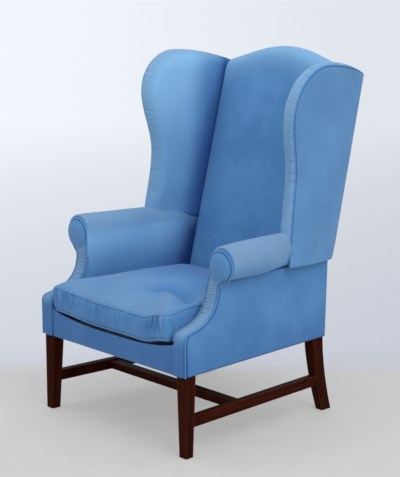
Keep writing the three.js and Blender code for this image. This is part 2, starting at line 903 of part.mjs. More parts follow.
// A slab over the wing's outline between two widths
function wingSlab(outerAt, innerAt, inset = 0) {
  const places = wingRows(inset);
  const columns = wingColumnShares.length - 1;
  const rows = places.length;
  const width = columns + 1;
  const count = rows * width;
  const points = [];
  for (const halfAt of [outerAt, innerAt]) {
    places.flat().forEach(([y, z]) => points.push(halfAt(y, z), y, z));
  }
  const faces = [];
  for (let r = 0; r + 1 < rows; r += 1) {
    for (let k = 0; k < columns; k += 1) {
      const [a, b, c, d] = [r * width + k, r * width + k + 1, (r + 1) * width + k + 1, (r + 1) * width + k];
      faces.push(a, b, c, a, c, d, count + a, count + c, count + b, count + a, count + d, count + c);
    }
  }
  const edge = [];
  for (let k = 0; k < columns; k += 1) edge.push(k);
  for (let r = 0; r + 1 < rows; r += 1) edge.push(r * width + columns);
  for (let k = columns; k > 0; k -= 1) edge.push((rows - 1) * width + k);
  for (let r = rows - 1; r > 0; r -= 1) edge.push(r * width);
  edge.forEach((a, i) => {
    const b = edge[(i + 1) % edge.length];
    faces.push(b, a, count + a, b, count + a, count + b);
  });
  const geometry = new THREE.BufferGeometry();
  geometry.setAttribute('position', new THREE.Float32BufferAttribute(points, 3));
  geometry.setIndex(faces);
  return toSolid(geometry);
}

// How much of the wing's round nose is left behind its front and top edge
function wingNose(y, z, reach) {
  const edge = wingRows(0).map((row) => Math.hypot(row[0][0] - y, row[0][1] - z));
  const nearest = Math.min(...edge);
  const left = clamp(1 - nearest / reach, 0, 1);
  return 1 - Math.sqrt(1 - left * left);
}

// Inside wing: the stuffed thickness of the wing with room for the wood inside it
function wingPad() {
  const outer = (y, z) => wingOuterX(y, z) - coverDepth;
  const depth = (y, z) => outer(y, z) - wingInnerX(y, z);
  const [innerShare, outerShare] = wingNoseShares;
  const slab = wingSlab(
    (y, z) => outer(y, z) - outerShare * depth(y, z) * wingNose(y, z, wingNoseOuter),
    (y, z) => wingInnerX(y, z) + innerShare * depth(y, z) * wingNose(y, z, wingNoseInner),
  );
  return cut(
    slab,
    armSlab(gap),
    armRail(gap),
    wingPost(gap),
    wingRail(gap),
    backPost(gap),
    crestRail(gap),
    backPanel(gap),
  );
}

function outsideWing() {
  return wingSlab(wingOuterX, (y, z) => wingOuterX(y, z) - coverDepth + gap, wingSeamInset);
}

// Inside back: a raked pad that rolls over the crest rail
function backPad(room = 0) {
  const half = insideBackHalf + room;
  const steps = 20;
  const archSteps = 6;
  const bottom = deckBottom + gap;
  const rings = [];
  for (let i = 0; i <= steps; i += 1) {
    const x = lerp(-half, half, i / steps);
    const shoulder = crestZ(x) - crestRollHeight;
    const [near, far] = [insideBackY(shoulder), outsideBackY(shoulder)];
    const ring = [[x, insideBackY(bottom) - room, bottom - room]];
    for (let k = 0; k <= archSteps; k += 1) {
      const angle = Math.PI * k / archSteps;
      const rise = crestRollHeight * Math.sin(angle);
      const y = (near + far) / 2 - (far - near) / 2 * Math.cos(angle) + rise * outsideSlope;
      ring.push([x, y, shoulder + rise]);
    }
    const under = shoulder - crestRollDrop;
    ring.push([x, outsideBackY(under), under]);
    ring.push([x, insideBackY(under) + backPadDepth + room, under]);
    ring.push([x, insideBackY(bottom) + backPadDepth + room, bottom - room]);
    rings.push(ring);
  }
  return loft(rings);
}

// Outside back: upright below the seam, then proud of it and raked up to the crest roll
function backPanel(room = 0) {
  const half = baseRearWidth / 2 - coverDepth - gap;
  const depth = coverDepth - gap;
  const lipRise = upperBackProud / 2;
  const steps = 16;
  const rings = [];
  for (let i = 0; i <= steps; i += 1) {
    const x = lerp(-half - room, half + room, i / steps);
    const top = backPanelTop(x) + room;
    const lip = seamRear + upperBackProud;
    const outer = [
      [lowerBackY(baseBottom), baseBottom],
      [lowerBackY(seamRear), seamRear],
      [lowerBackY(seamRear) + upperBackProud, seamRear + lipRise],
      [outsideBackY(lip), lip],
      [outsideBackY(top), top],
    ];
    const inner = outer.map(([y, z]) => [y - depth - room, z]).reverse();
    rings.push([...outer.map(([y, z]) => [y + room, z]), ...inner].map(([y, z]) => [x, y, z]));
  }
  return loft(rings);
}

// Seat deck under the cushion, and the border that wraps over the front rail
const innerArmHalf = (y) => sideHalf(y) - armWidth - gap;

function seatDeck() {
  return crossPrism(
    rectangle(borderLip + gap, insideBackY(deckBottom) - gap, deckBottom, deckTop),
    innerArmHalf,
  );
}

function frontBorder() {
  const skin = coverDepth - gap;
  const outline = [
    [0, baseBottom],
    [skin, baseBottom],
    [skin, railTop + gap],
    [borderLip, railTop + gap],
    [borderLip, deckTop],
    [skin / 2, deckTop],
    [0, deckTop - skin / 2],
  ];
  return crossPrism(outline, innerArmHalf);
}

function dustCover() {
  const sheet = crossPrism(
    rectangle(coverDepth, rearFace, baseBottom, baseBottom + dustCoverDepth),
    (y) => sideHalf(y) - coverDepth,
  );
  return cut(sheet, frontLeg(gap), mirrored(frontLeg(gap)), rearLeg(gap), mirrored(rearLeg(gap)));
}

// Plan outline of the cushion at a height: a trapezium with round corners and drawn-in sides
function cushionRing(inset, z, pulled) {
  const near = cushionFrontRoom + inset;
  const far = insideBackY(clamp(z, boxingBottom, boxingTop)) - cushionBackRoom - inset;
  const half = (y) => sideHalf(y) - armWidth - cushionSideRoom - inset;
  const corners = [[-half(near), near], [half(near), near], [half(far), far], [-half(far), far]];
  const radius = cushionCorner * cushionCorner / (cushionCorner + Math.max(inset, 0));
  const sideSteps = 7;
  const ring = [];
  corners.forEach((corner, k) => {
    const from = new THREE.Vector2(...corner);
    const to = new THREE.Vector2(...corners[(k + 1) % corners.length]);
    const along = to.clone().sub(from);
    const length = along.length();
    along.divideScalar(length);
    const inward = new THREE.Vector2(-along.y, along.x);
    for (let i = 0; i <= sideSteps; i += 1) {
      const place = lerp(radius, length - radius, i / sideSteps);
      const point = from.clone().addScaledVector(along, place);
      point.addScaledVector(inward, pulled * Math.sin(Math.PI * i / sideSteps));
      ring.push([point.x, point.y, z]);
    }
    const turn = to.clone().addScaledVector(along, -radius * (1 - Math.SQRT1_2));
    turn.addScaledVector(inward, radius * (1 - Math.SQRT1_2));
    ring.push([turn.x, turn.y, z]);
  });
  return ring;
}

// The cushion's form, drawn in by a cloth thickness for its filling
function cushionForm(skin = 0) {
  const reach = seatDepth / 2;
  const bulge = (share) => cushionBelly * Math.sin(Math.PI * share);
  const lowest = deckTop + gap + skin;
  const drawnIn = (share) => cushionPull * (1 - share);
  const under = cushionUnderShares.map((share) => cushionRing(share * reach, lowest, drawnIn(share)));
  const boxing = Array.from({ length: boxingSteps + 1 }, (unused, i) => {
    const share = i / boxingSteps;
    const z = lerp(boxingBottom + skin, boxingTop - skin, share);
    return cushionRing(skin - bulge(share), z, cushionPull);
  });
  const crown = cushionCrownShares.map((share) => {
    const rise = cushionCrown * (1 - (1 - share) ** cushionCrownPower);
    return cushionRing(skin + share * reach, boxingTop - skin + rise, drawnIn(share));
  });
  return loft([...under, ...boxing, ...crown]);
}

// Cover: a sewn shell, open along the zip at the rear
function cushionCover() {
  const middle = (boxingBottom + boxingTop) / 2;
  const back = insideBackY(middle) - cushionBackRoom;
  const zip = plainPrism(
    rectangle(back - zipReach, back + zipReach, middle - zipSlot / 2, middle + zipSlot / 2),
    -zipLength / 2,
    zipLength / 2,
  );
  return cut(cushionForm(), cushionForm(coverCloth), zip);
}

// Welt cord round one edge of the boxing
function cushionWelt(z) {
  const sides = 5;
  const radius = weltDiameter / 2;
  const outer = cushionRing(-weltReach - radius, z, cushionPull);
  const inner = cushionRing(-weltReach + radius, z, cushionPull);
  const rings = outer.map(([x, y], i) => Array.from({ length: sides }, (unused, k) => {
    const angle = 2 * Math.PI * (k + 0.5) / sides;
    const share = (1 + Math.cos(angle)) / 2;
    return [lerp(inner[i][0], x, share), lerp(inner[i][1], y, share), z + radius * Math.sin(angle)];
  }));
  return loft(rings, true);
}

// Materials
function finish(color, roughness, metalness = 0) {
  return () => new THREE.MeshStandardMaterial({ color, roughness, metalness });
}

const mahogany = finish('#3a1a12', 0.35);
const beech = finish('#c8a678', 0.7);
const blueCloth = finish('#5b8dc4', 0.9);
const felt = finish('#8d8b86', 0.95);
const jute = finish('#a98f63', 0.9);
const springSteel = finish('#7d8287', 0.4, 1);
const cambric = finish('#1d1d20', 0.95);
const filling = finish('#e7e2d6', 0.95);

const chair = new THREE.Group();

function addPiece(name, solid, material) {
  const { vertProperties, triVerts } = solid.getMesh();
  const geometry = new THREE.BufferGeometry();
  geometry.setAttribute('position', new THREE.Float32BufferAttribute(vertProperties, 3));
  geometry.setIndex(Array.from(triVerts));
  geometry.computeVertexNormals();
  const mesh = new THREE.Mesh(geometry, material());
  mesh.name = name;
  chair.add(mesh);
}

function addPair(name, solid, material) {
  addPiece(`${name}_left`, mirrored(solid), material);
  addPiece(`${name}_right`, solid, material);
}

// Show wood
const legMortises = [frontRailTenon(gap), sideRailTenon(gap), sideStretcherTenon(gap), rearRailTenon(gap)];
addPair('front_leg', cut(frontLeg(), ...legMortises), mahogany);
addPair('rear_leg', cut(rearLeg(), ...legMortises), mahogany);
addPair('side_stretcher', cut(sideStretcher(), crossTenon(gap)), mahogany);
addPiece('cross_stretcher', join(crossStretcher(), crossTenon()), mahogany);

// Frame
addPiece('front_seat_rail', join(frontRail(), frontRailTenon()), beech);
addPiece('rear_seat_rail', join(rearRail(), rearRailTenon()), beech);
addPair('side_seat_rail', join(sideRail(), sideRailTenon()), beech);
addPair('front_corner_block', frontBlock(), beech);
addPair('rear_corner_block', rearBlock(), beech);
addPair('back_post', backPost(), beech);
addPiece('crest_rail', crestRail(), beech);
addPiece('stay_rail', stayRail(), beech);
addPair('arm_post', armPost(), beech);
addPair('arm_rail', armRail(), beech);
addPair('wing_post', wingPost(), beech);
addPair('wing_rail', cut(wingRail(), wingPost(gap)), beech);

// Webbing, springs and deck
addPiece('back_webbing', backWebbing(), jute);
for (let i = 0; i < springCount; i += 1) {
  addPiece(`seat_spring_${i + 1}`, seatSpring((i - (springCount - 1) / 2) * springSpacing), springSteel);
}
addPiece('seat_deck', seatDeck(), felt);
addPiece('dust_cover', dustCover(), cambric);

// Upholstery
addPiece('front_border', frontBorder(), blueCloth);
addPair('arm_facing', cut(armFacing(), frontLeg(gap)), blueCloth);
addPair('arm_pad', armPad(), blueCloth);
addPair('outside_arm', outsideArm(), blueCloth);
addPair('inside_wing', wingPad(), blueCloth);
addPair('outside_wing', outsideWing(), blueCloth);
addPiece('inside_back', cut(backPad(), backPost(gap), mirrored(backPost(gap))), blueCloth);
addPiece('outside_back', backPanel(), blueCloth);

// Loose cushion
addPiece('cushion_cover', cushionCover(), blueCloth);
addPiece('cushion_filling', cushionForm(coverCloth + gap), filling);
addPiece('cushion_welt_bottom', cushionWelt(boxingBottom), blueCloth);
addPiece('cushion_welt_top', cushionWelt(boxingTop), blueCloth);

// The origin is under the middle of the whole outline
const outline = new THREE.Box3().setFromObject(chair);
chair.position.y = -(outline.min.y + outline.max.y) / 2;
chair.updateMatrixWorld(true);

export default chair;
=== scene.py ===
"""Wingback armchair: upholstery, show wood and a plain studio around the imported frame."""
import json
import math

import bpy
import bmesh
import numpy as np
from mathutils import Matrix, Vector, kdtree, noise
from mathutils.bvhtree import BVHTree


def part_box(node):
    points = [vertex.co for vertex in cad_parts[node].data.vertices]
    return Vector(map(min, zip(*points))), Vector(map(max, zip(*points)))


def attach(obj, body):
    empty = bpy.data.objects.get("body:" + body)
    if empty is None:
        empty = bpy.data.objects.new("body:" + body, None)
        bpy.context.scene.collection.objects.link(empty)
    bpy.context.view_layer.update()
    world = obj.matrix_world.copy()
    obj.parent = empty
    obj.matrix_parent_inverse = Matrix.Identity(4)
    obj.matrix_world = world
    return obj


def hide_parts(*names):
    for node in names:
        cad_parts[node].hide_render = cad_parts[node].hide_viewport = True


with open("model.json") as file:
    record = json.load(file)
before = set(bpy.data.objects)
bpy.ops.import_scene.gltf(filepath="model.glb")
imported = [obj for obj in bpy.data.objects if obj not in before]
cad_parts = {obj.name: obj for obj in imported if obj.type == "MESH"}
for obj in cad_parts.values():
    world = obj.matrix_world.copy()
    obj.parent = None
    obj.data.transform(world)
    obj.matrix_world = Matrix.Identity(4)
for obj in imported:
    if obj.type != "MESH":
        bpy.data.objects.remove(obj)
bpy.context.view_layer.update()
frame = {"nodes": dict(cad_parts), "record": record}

bl_info = {
    "name": "Wingback Armchair",
    "version": (1, 0, 0),
    "blender": (4, 5, 0),
    "location": "View3D > Sidebar > Armchair",
    "description": "Upholsters a packed wingback armchair frame and sets it in a plain studio",
    "category": "Add Mesh",
}

MM = 0.001


def linear(code):
    """Linear colour, with alpha, of an sRGB hex value."""
    shares = [int(code[i:i + 2], 16) / 255 for i in (0, 2, 4)]
    return tuple(v / 12.92 if v <= 0.04045 else ((v + 0.055) / 1.055) ** 2.4 for v in shares) + (1.0,)


# Places on the frame
# Depths are counted back from the front face of the base, widths from the middle of the chair.
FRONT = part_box("front_border")[0].y
BASE_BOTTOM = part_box("outside_arm_right")[0].z
SEAM_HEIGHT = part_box("outside_arm_right")[1].z
HALF_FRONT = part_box("outside_arm_right")[1].x
DECK_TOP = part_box("seat_deck")[1].z
CREST_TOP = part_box("inside_back")[1].z
BACK_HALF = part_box("inside_back")[1].x
WING_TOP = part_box("inside_wing_right")[1].z
PANEL_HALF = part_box("outside_back")[1].x
BASE_DEPTH = 630 * MM
SEAM_REAR = SEAM_HEIGHT - 10 * MM
RAKE_START = 505 * MM
SIDE_SLOPE = 40 / 630
SEAT_DEPTH = 524 * MM
INSIDE_SLOPE = math.tan(math.radians(14.3))
OUTSIDE_SLOPE = math.tan(math.radians(12.8))
LOWER_LEAN = 8 * MM
UPPER_PROUD = 14 * MM
COVER = 7 * MM
ARM_WIDTH = 54 * MM
ARM_SETBACK = 139 * MM
KNEE_HEIGHT = 366 * MM
ROLL_RADIUS = 50 * MM
ROLL_HEIGHT = 561 * MM
ROLL_OVERHANG = 7 * MM
LEAN_HEIGHT = 470 * MM
CREST_RISE = 62 * MM
CREST_SPAN = 290 * MM
CREST_ROLL = 30 * MM
CREST_DROP = 8 * MM
WING_FOOT = 418 * MM
WING_FOOT_HEIGHT = ROLL_HEIGHT - 9 * MM
WING_WAIST = 27 * MM
WING_WAIST_HEIGHT = WING_FOOT_HEIGHT + 0.424 * (WING_TOP - WING_FOOT_HEIGHT)
WING_EAR = 419 * MM
WING_EAR_HEIGHT = WING_FOOT_HEIGHT + 0.736 * (WING_TOP - WING_FOOT_HEIGHT)
WING_EAR_DEPTH = 144 * MM
WING_REAR_HEIGHT = CREST_TOP - 66 * MM
WING_THICKNESS = 50 * MM
BOXING_BOTTOM = 317 * MM
BOXING_TOP = 393 * MM
SEAM_GAP = 0.3 * MM
# Half widths of the wings: at the waist's front edge, what its foot and its top add, and at the rear
WING_WAIST_HALF = 329 * MM
WING_FOOT_SPREAD = 13 * MM
WING_FLARE = 29 * MM
WING_FLARE_TOP = CREST_TOP - 42 * MM
WING_REAR_HALF = 306 * MM
WING_BOW = 12 * MM


def lerp(a, b, share):
    """The value a share of the way from a to b."""
    return a + (b - a) * share


def ease(t):
    """A smooth step from 0 to 1 as t goes from 0 to 1."""
    s = np.clip(t, 0, 1)
    return s * s * (3 - 2 * s)


def ramp(value, start, end):
    """A smooth step from 0 where a value is at the start to 1 where it is at the end."""
    return ease((value - start) / (end - start))


def nearness(distance, reach):
    """1 on a line, fading to nothing over some twice the reach beside it."""
    return np.exp(-(distance / reach) ** 2)


def side_half(depth):
    """Half the width of the base, which narrows towards the rear."""
    return HALF_FRONT - SIDE_SLOPE * depth


def inside_back(z):
    """Depth of the face that the sitter leans on."""
    return SEAT_DEPTH + (z - DECK_TOP) * INSIDE_SLOPE


def outside_back(z):
    """Depth of the rear face above the seam under the wings."""
    return BASE_DEPTH + LOWER_LEAN + UPPER_PROUD + (z - RAKE_START) * OUTSIDE_SLOPE


def lower_back(z):
    """Depth of the rear face of the base."""
    return BASE_DEPTH + LOWER_LEAN * (z - BASE_BOTTOM) / (SEAM_REAR - BASE_BOTTOM)


def crest(x):
    """Height of the camel crest."""
    hump = (1 + np.cos(np.pi * np.minimum(np.abs(x) / CREST_SPAN, 1))) / 2
    return CREST_TOP - CREST_RISE + CREST_RISE * hump ** 0.7


def wing_front(z):
    """Depth of a wing's front edge: out at the foot, in at the waist and round the ear."""
    waist = WING_FOOT + WING_WAIST
    low = lerp(WING_FOOT, waist, ramp(z, WING_FOOT_HEIGHT, WING_WAIST_HEIGHT))
    middle = lerp(waist, WING_EAR, ramp(z, WING_WAIST_HEIGHT, WING_EAR_HEIGHT))
    rise = np.clip((z - WING_EAR_HEIGHT) / (WING_TOP - WING_EAR_HEIGHT), 0, 1)
    high = WING_EAR + WING_EAR_DEPTH * (1 - np.sqrt(1 - rise * rise))
    return np.where(z < WING_WAIST_HEIGHT, low, np.where(z < WING_EAR_HEIGHT, middle, high))


def wing_front_half(z):
    """How far out from the middle a wing's front edge stands."""
    drop = np.clip((WING_WAIST_HEIGHT - z) / (WING_WAIST_HEIGHT - WING_FOOT_HEIGHT), 0, 1)
    flare = ramp(z, WING_WAIST_HEIGHT, WING_FLARE_TOP)
    return WING_WAIST_HALF + WING_FOOT_SPREAD * drop * drop + WING_FLARE * flare


def wing_outer(depth, z):
    """Outer skin of a wing, bowed from front to rear."""
    front = wing_front(z)
    share = np.clip((depth - front) / (outside_back(z) - front), 0, 1)
    return lerp(wing_front_half(z), WING_REAR_HALF, share) + 4 * WING_BOW * share * (1 - share)


def wing_inner(depth, z):
    """Inner skin of a wing, from its front edge to the side of the inside back."""
    front = wing_front(z)
    share = np.clip((depth - front) / (inside_back(z) - front), 0, 1)
    return lerp(wing_front_half(z) - WING_THICKNESS, BACK_HALF + SEAM_GAP, share)


def knee_line(count):
    """The knee of the arm in side view: depth and height, from the post up to the neck of the scroll."""
    rise = ROLL_HEIGHT - ROLL_RADIUS - KNEE_HEIGHT
    handles = np.array([
        [0, KNEE_HEIGHT],
        [0.28 * ARM_SETBACK, KNEE_HEIGHT + 0.14 * rise],
        [ARM_SETBACK, KNEE_HEIGHT + 0.04 * rise],
        [ARM_SETBACK, KNEE_HEIGHT + rise],
    ])
    t = np.linspace(0, 1, count)[:, None]
    weights = [(1 - t) ** 3, 3 * t * (1 - t) ** 2, 3 * t * t * (1 - t), t ** 3]
    return sum(w * h for w, h in zip(weights, handles))


# Mesh making
def resample(points, step, closed=False):
    """The same polyline with points about a step apart."""
    points = np.asarray(points, float)
    if closed:
        points = np.vstack([points, points[:1]])
    lengths = np.concatenate([[0], np.cumsum(np.linalg.norm(np.diff(points, axis=0), axis=1))])
    count = max(int(round(lengths[-1] / step)), 2)
    at = np.linspace(0, lengths[-1], count + 1)
    out = np.column_stack([np.interp(at, lengths, points[:, k]) for k in range(points.shape[1])])
    return out[:-1] if closed else out


def distance_to(points, line):
    """Distance of 2-D points to a 2-D polyline."""
    points = np.asarray(points, float)
    best = np.full(len(points), 1e9)
    for a, b in zip(line[:-1], line[1:]):
        along = b - a
        t = np.clip(((points - a) @ along) / max(along @ along, 1e-18), 0, 1)
        best = np.minimum(best, np.linalg.norm(points - (a + t[:, None] * along), axis=1))
    return best


def nearest(points, line):
    """Distance from each point to the nearest point of a line, and that point's number."""
    tree = kdtree.KDTree(len(line))
    for number, place in enumerate(line):
        tree.insert(place, number)
    tree.balance()
    found = [tree.find(point) for point in points]
    return np.array([f[2] for f in found]), np.array([f[1] for f in found])


def loft(rings, closed=False, caps=True):
    """Points and faces of a solid through rings of equal count."""
    rings = np.asarray(rings, float)
    rows, size = rings.shape[:2]
    faces = []
    for r in range(rows if closed else rows - 1):
        low, high = r * size, ((r + 1) % rows) * size
        for k in range(size):
            n = (k + 1) % size
            faces.append((low + k, low + n, high + n, high + k))
    if caps and not closed:
        faces.append(tuple(range(size))[::-1])
        faces.append(tuple((rows - 1) * size + k for k in range(size)))
    return rings.reshape(-1, 3), faces


def slab(outer, inner):
    """A closed slab between two grids of points of the same shape."""
    rows, columns = outer.shape[:2]
    count = rows * columns
    points = np.vstack([outer.reshape(-1, 3), inner.reshape(-1, 3)])
    faces = []
    for r in range(rows - 1):
        for k in range(columns - 1):
            a, b = r * columns + k, r * columns + k + 1
            c, d = b + columns, a + columns
            faces.append((a, b, c, d))
            faces.append((count + a, count + d, count + c, count + b))
    edge = list(range(columns)) + [r * columns + columns - 1 for r in range(1, rows)]
    edge += [(rows - 1) * columns + k for k in range(columns - 2, -1, -1)]
    edge += [r * columns for r in range(rows - 2, 0, -1)]
    for i, a in enumerate(edge):
        b = edge[(i + 1) % len(edge)]
        faces.append((a, count + a, count + b, b))
    return points, faces


def join(*parts):
    """Several solids as one set of points and faces."""
    points, faces, base = [], [], 0
    for part_points, part_faces in parts:
        points.append(part_points)
        faces += [tuple(base + i for i in face) for face in part_faces]
        base += len(part_points)
    return np.vstack(points), faces


def tube(path, radius, sides=10, closed=False):
    """A cord of one radius along a path, with closed ends."""
    path = np.asarray(path, float)
    count = len(path)
    if closed:
        along = np.roll(path, -1, axis=0) - np.roll(path, 1, axis=0)
    else:
        along = np.gradient(path, axis=0)
    along /= np.linalg.norm(along, axis=1)[:, None]
    up = np.array([0.0, 0.0, 1.0]) if abs(along[0][2]) < 0.9 else np.array([0.0, 1.0, 0.0])
    across = np.cross(up, along[0])
    rings = []
    turns = 2 * np.pi * np.arange(sides) / sides
    for i in range(count):
        across = across - along[i] * (across @ along[i])
        across /= np.linalg.norm(across)
        other = np.cross(along[i], across)
        rings.append(path[i] + radius * (np.cos(turns)[:, None] * across + np.sin(turns)[:, None] * other))
    return loft(rings, closed=closed)


def crumple(points, size, seed):
    """Soft noise from -1 to 1 at each point, for lumps of a given size."""
    shift = Vector((seed * 3.7, seed * 1.3, seed * 7.1))
    return np.array([noise.noise(Vector(p) / size + shift) for p in points])


def mirror(part, sign):
    """The same solid on the right (1) or the left (-1) of the chair."""
    points, faces = part
    return np.array(points, float) * (sign, 1, 1), faces


def new_object(name, part, wear_and_shade=None, bleached_and_lit=None):
    """A mesh object from a solid, with how worn it is, its painted shade and its painted highlight stored on
    it, and its faces turned outwards.
    """
    points, faces = part
    points = np.array(points, float)
    points[:, 1] += FRONT
    mesh = bpy.data.meshes.new(name)
    mesh.from_pydata(points.tolist(), [], faces)
    if wear_and_shade is not None:
        paint_wear_and_shade(mesh, wear_and_shade, bleached_and_lit)
    work = bmesh.new()
    work.from_mesh(mesh)
    bmesh.ops.remove_doubles(work, verts=work.verts, dist=0.02 * MM)
    bmesh.ops.recalc_face_normals(work, faces=work.faces)
    work.to_mesh(mesh)
    work.free()
    mesh.shade_smooth()
    obj = bpy.data.objects.new(name, mesh)
    bpy.context.scene.collection.objects.link(obj)
    return obj


def apply_modifiers(obj):
    """The object's mesh as its modifiers leave it."""
    depsgraph = bpy.context.evaluated_depsgraph_get()
    mesh = bpy.data.meshes.new_from_object(obj.evaluated_get(depsgraph))
    old = obj.data
    obj.modifiers.clear()
    obj.data = mesh
    mesh.name = obj.name
    bpy.data.meshes.remove(old)
    mesh.shade_smooth()
    return obj


def stuff(obj, voxel, rounds):
    """Joins an object's solids into one skin of even faces and rounds its edges as stuffing does."""
    remesh = obj.modifiers.new("skin", "REMESH")
    remesh.mode = "VOXEL"
    remesh.voxel_size = voxel
    smooth = obj.modifiers.new("rounding", "SMOOTH")
    smooth.factor = 0.5
    smooth.iterations = rounds
    return apply_modifiers(obj)


def refine(obj):
    """Splits each face in four on a smooth surface, for the folds and creases."""
    split = obj.modifiers.new("fine", "SUBSURF")
    split.levels = 1
    return apply_modifiers(obj)


def coordinates(obj):
    """The object's points, with depths counted from the front face."""
    points = np.empty(len(obj.data.vertices) * 3)
    obj.data.vertices.foreach_get("co", points)
    points = points.reshape(-1, 3)
    points[:, 1] -= FRONT
    return points


def set_coordinates(obj, points):
    """Moves the object's points to places counted from the front face."""
    points = np.array(points, float)
    points[:, 1] += FRONT
    obj.data.vertices.foreach_set("co", points.ravel())
    obj.data.update()


def normals(obj):
    """The way that the skin faces at each of the object's points."""
    values = np.empty(len(obj.data.vertices) * 3)
    obj.data.vertex_normals.foreach_get("vector", values)
    return values.reshape(-1, 3)


def paint_wear_and_shade(mesh, wear_and_shade, bleached_and_lit=None):
    """Stores how worn the cloth is, with painted shade below zero in creases and beside seams, and its
    bleaching by the light, with painted highlight where the light falls on it.
    """
    for name, values in (("wear_and_shade", wear_and_shade), ("bleached_and_lit", bleached_and_lit)):
        if values is not None:
            layer = mesh.attributes.new(name, "FLOAT", "POINT")
            values = np.broadcast_to(np.float32(values), len(mesh.vertices))
            layer.data.foreach_set("value", np.ascontiguousarray(values))


def set_finish(obj, name):
    """Gives an object one finish in place of those it has."""
    obj.data.materials.clear()
    obj.data.materials.append(material(name))


def finish_piece(obj, body, finish, replaces=()):
    """Finishes a piece, ties it to its body and hides the frame's solids that it stands for."""
    set_finish(obj, finish)
    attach(obj, body)
    if replaces:
        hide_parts(*replaces)


def upholster(obj, node=None):
    """Finishes a fixed piece of the blue cloth, which stands for one solid of the frame or for none."""
    finish_piece(obj, "chair", "upright_cloth", [node] if node else ())


# Materials
ACROSS, BACKWARD, UP = range(3)


def add_node(tree, kind, settings=None, links=None):
    """Adds one node, sets its properties and input values, and links its inputs to sockets or nodes."""
    node = tree.nodes.new("ShaderNode" + kind)
    for name, value in (settings or {}).items():
        if isinstance(name, str) and hasattr(node, name):
            setattr(node, name, value)
        else:
            node.inputs[name].default_value = value
    for name, source in (links or {}).items():
        tree.links.new(source if hasattr(source, "node") else source.outputs[0], node.inputs[name])
    return node


def new_material(name, settings):
    """A material with its shader's settings, and the place on the object that its patterns follow."""
    material = bpy.data.materials.new(name)
    material.use_nodes = True
    tree = material.node_tree
    shader = tree.nodes["Principled BSDF"]
    for key, value in settings.items():
        shader.inputs[key].default_value = value
    place = add_node(tree, "TexCoord").outputs["Object"]
    return material, tree, shader, place


def stretched(along, across, axis):
    """Scale of a pattern with features of one length along an axis and of another across it."""
    return tuple(1 / (along if way == axis else across) for way in range(3))


def woven_cloth(name, colours, warp):
    """Plain woven upholstery cloth: matt, with a soft nap, faint slubs along the warp, faded edges, painted
    shade and painted highlight.
    """
    # A cotton and wool cloth scatters light in its nap, so it is rough with a little sheen.
    material, tree, shader, place = new_material(name, {
        "Roughness": 0.88, "IOR": 1.45, "Specular IOR Level": 0.25,
        "Sheen Weight": 0.15, "Sheen Roughness": 0.5, "Sheen Tint": (0.75, 0.86, 1.0, 1.0)})
    # Slubs: thick threads about 3 mm apart, drawn coarser than the 0.7 mm thread so that they show.
    slub_place = add_node(tree, "Mapping", {"Scale": stretched(90 * MM, 3.2 * MM, warp)}, {"Vector": place})
    slubs = add_node(tree, "TexNoise", {"Scale": 1.0, "Detail": 2.0}, {"Vector": slub_place})
    # Mottle: lighter and darker dye in soft clouds about 140 mm wide.
    mottle = add_node(tree, "TexNoise", {"Scale": 1 / (140 * MM), "Detail": 3.0, "Roughness": 0.55},
                      {"Vector": place})
    wear_and_shade = add_node(tree, "Attribute", {"attribute_name": "wear_and_shade"}).outputs["Fac"]
    # Wear: used cloth turns greyer, in patches about 22 mm wide.
    patches = add_node(tree, "TexNoise", {"Scale": 1 / (22 * MM), "Detail": 3.0}, {"Vector": place})
    worn = add_node(tree, "Math", {"operation": "MULTIPLY_ADD", 1: 0.8, 2: 0.6}, {0: patches})
    worn = add_node(tree, "Math", {"operation": "MULTIPLY", "use_clamp": True}, {0: worn, 1: wear_and_shade})
    light = add_node(tree, "MapRange", {"From Min": 0.35, "From Max": 0.65}, {"Value": mottle})
    base = add_node(tree, "Mix",
                    {"data_type": "RGBA", 6: tuple(colours.cloth), 7: tuple(colours.cloth_light)},
                    {0: light})
    streak = add_node(tree, "MapRange", {"From Min": 0.3, "From Max": 0.7, "To Min": 0.93, "To Max": 1.07},
                      {"Value": slubs})
    threads = add_node(tree, "VectorMath", {"operation": "SCALE"}, {0: base.outputs[2], "Scale": streak})
    # Crevices: painted shade turns the cloth a deep blue beside the seams, in the folds and low down,
    # wherever the stored value is below zero.
    crevice_shade = add_node(tree, "MapRange",
                       {"From Min": -1.0, "From Max": 0.0, "To Min": 1.0, "To Max": 0.0}, {"Value": wear_and_shade})
    deep = add_node(tree, "Mix", {"data_type": "RGBA", 7: tuple(colours.cloth_painted_shade)},
                    {0: crevice_shade, 6: threads.outputs[0]})
    used = add_node(tree, "MapRange", {"From Max": 0.5}, {"Value": worn})
    grey = add_node(tree, "Mix", {"data_type": "RGBA", 7: tuple(colours.cloth_worn)},
                    {0: used, 6: deep.outputs[2]})
    # Bleaching and painted highlight: the cloth turns a pale bright blue where the light has faded it and
    # where the light falls on it.
    bleached_and_lit = add_node(tree, "Attribute", {"attribute_name": "bleached_and_lit"}).outputs["Fac"]
    faded = add_node(tree, "Mix", {"data_type": "RGBA", 7: tuple(colours.cloth_bleached_and_lit)},
                     {0: bleached_and_lit, 6: grey.outputs[2]})
    tree.links.new(faded.outputs[2], shader.inputs["Base Color"])
    # Weave: raised crossings of the threads, at twice their real spacing.
    weave = add_node(tree, "TexNoise", {"Scale": 1 / (1.6 * MM), "Detail": 1.0}, {"Vector": place})
    relief = add_node(tree, "Math", {"operation": "ADD"}, {0: slubs, 1: weave})
    bump = add_node(tree, "Bump", {"Strength": 0.25, "Distance": 0.4 * MM}, {"Height": relief})
    tree.links.new(bump.outputs[0], shader.inputs["Normal"])
    return material


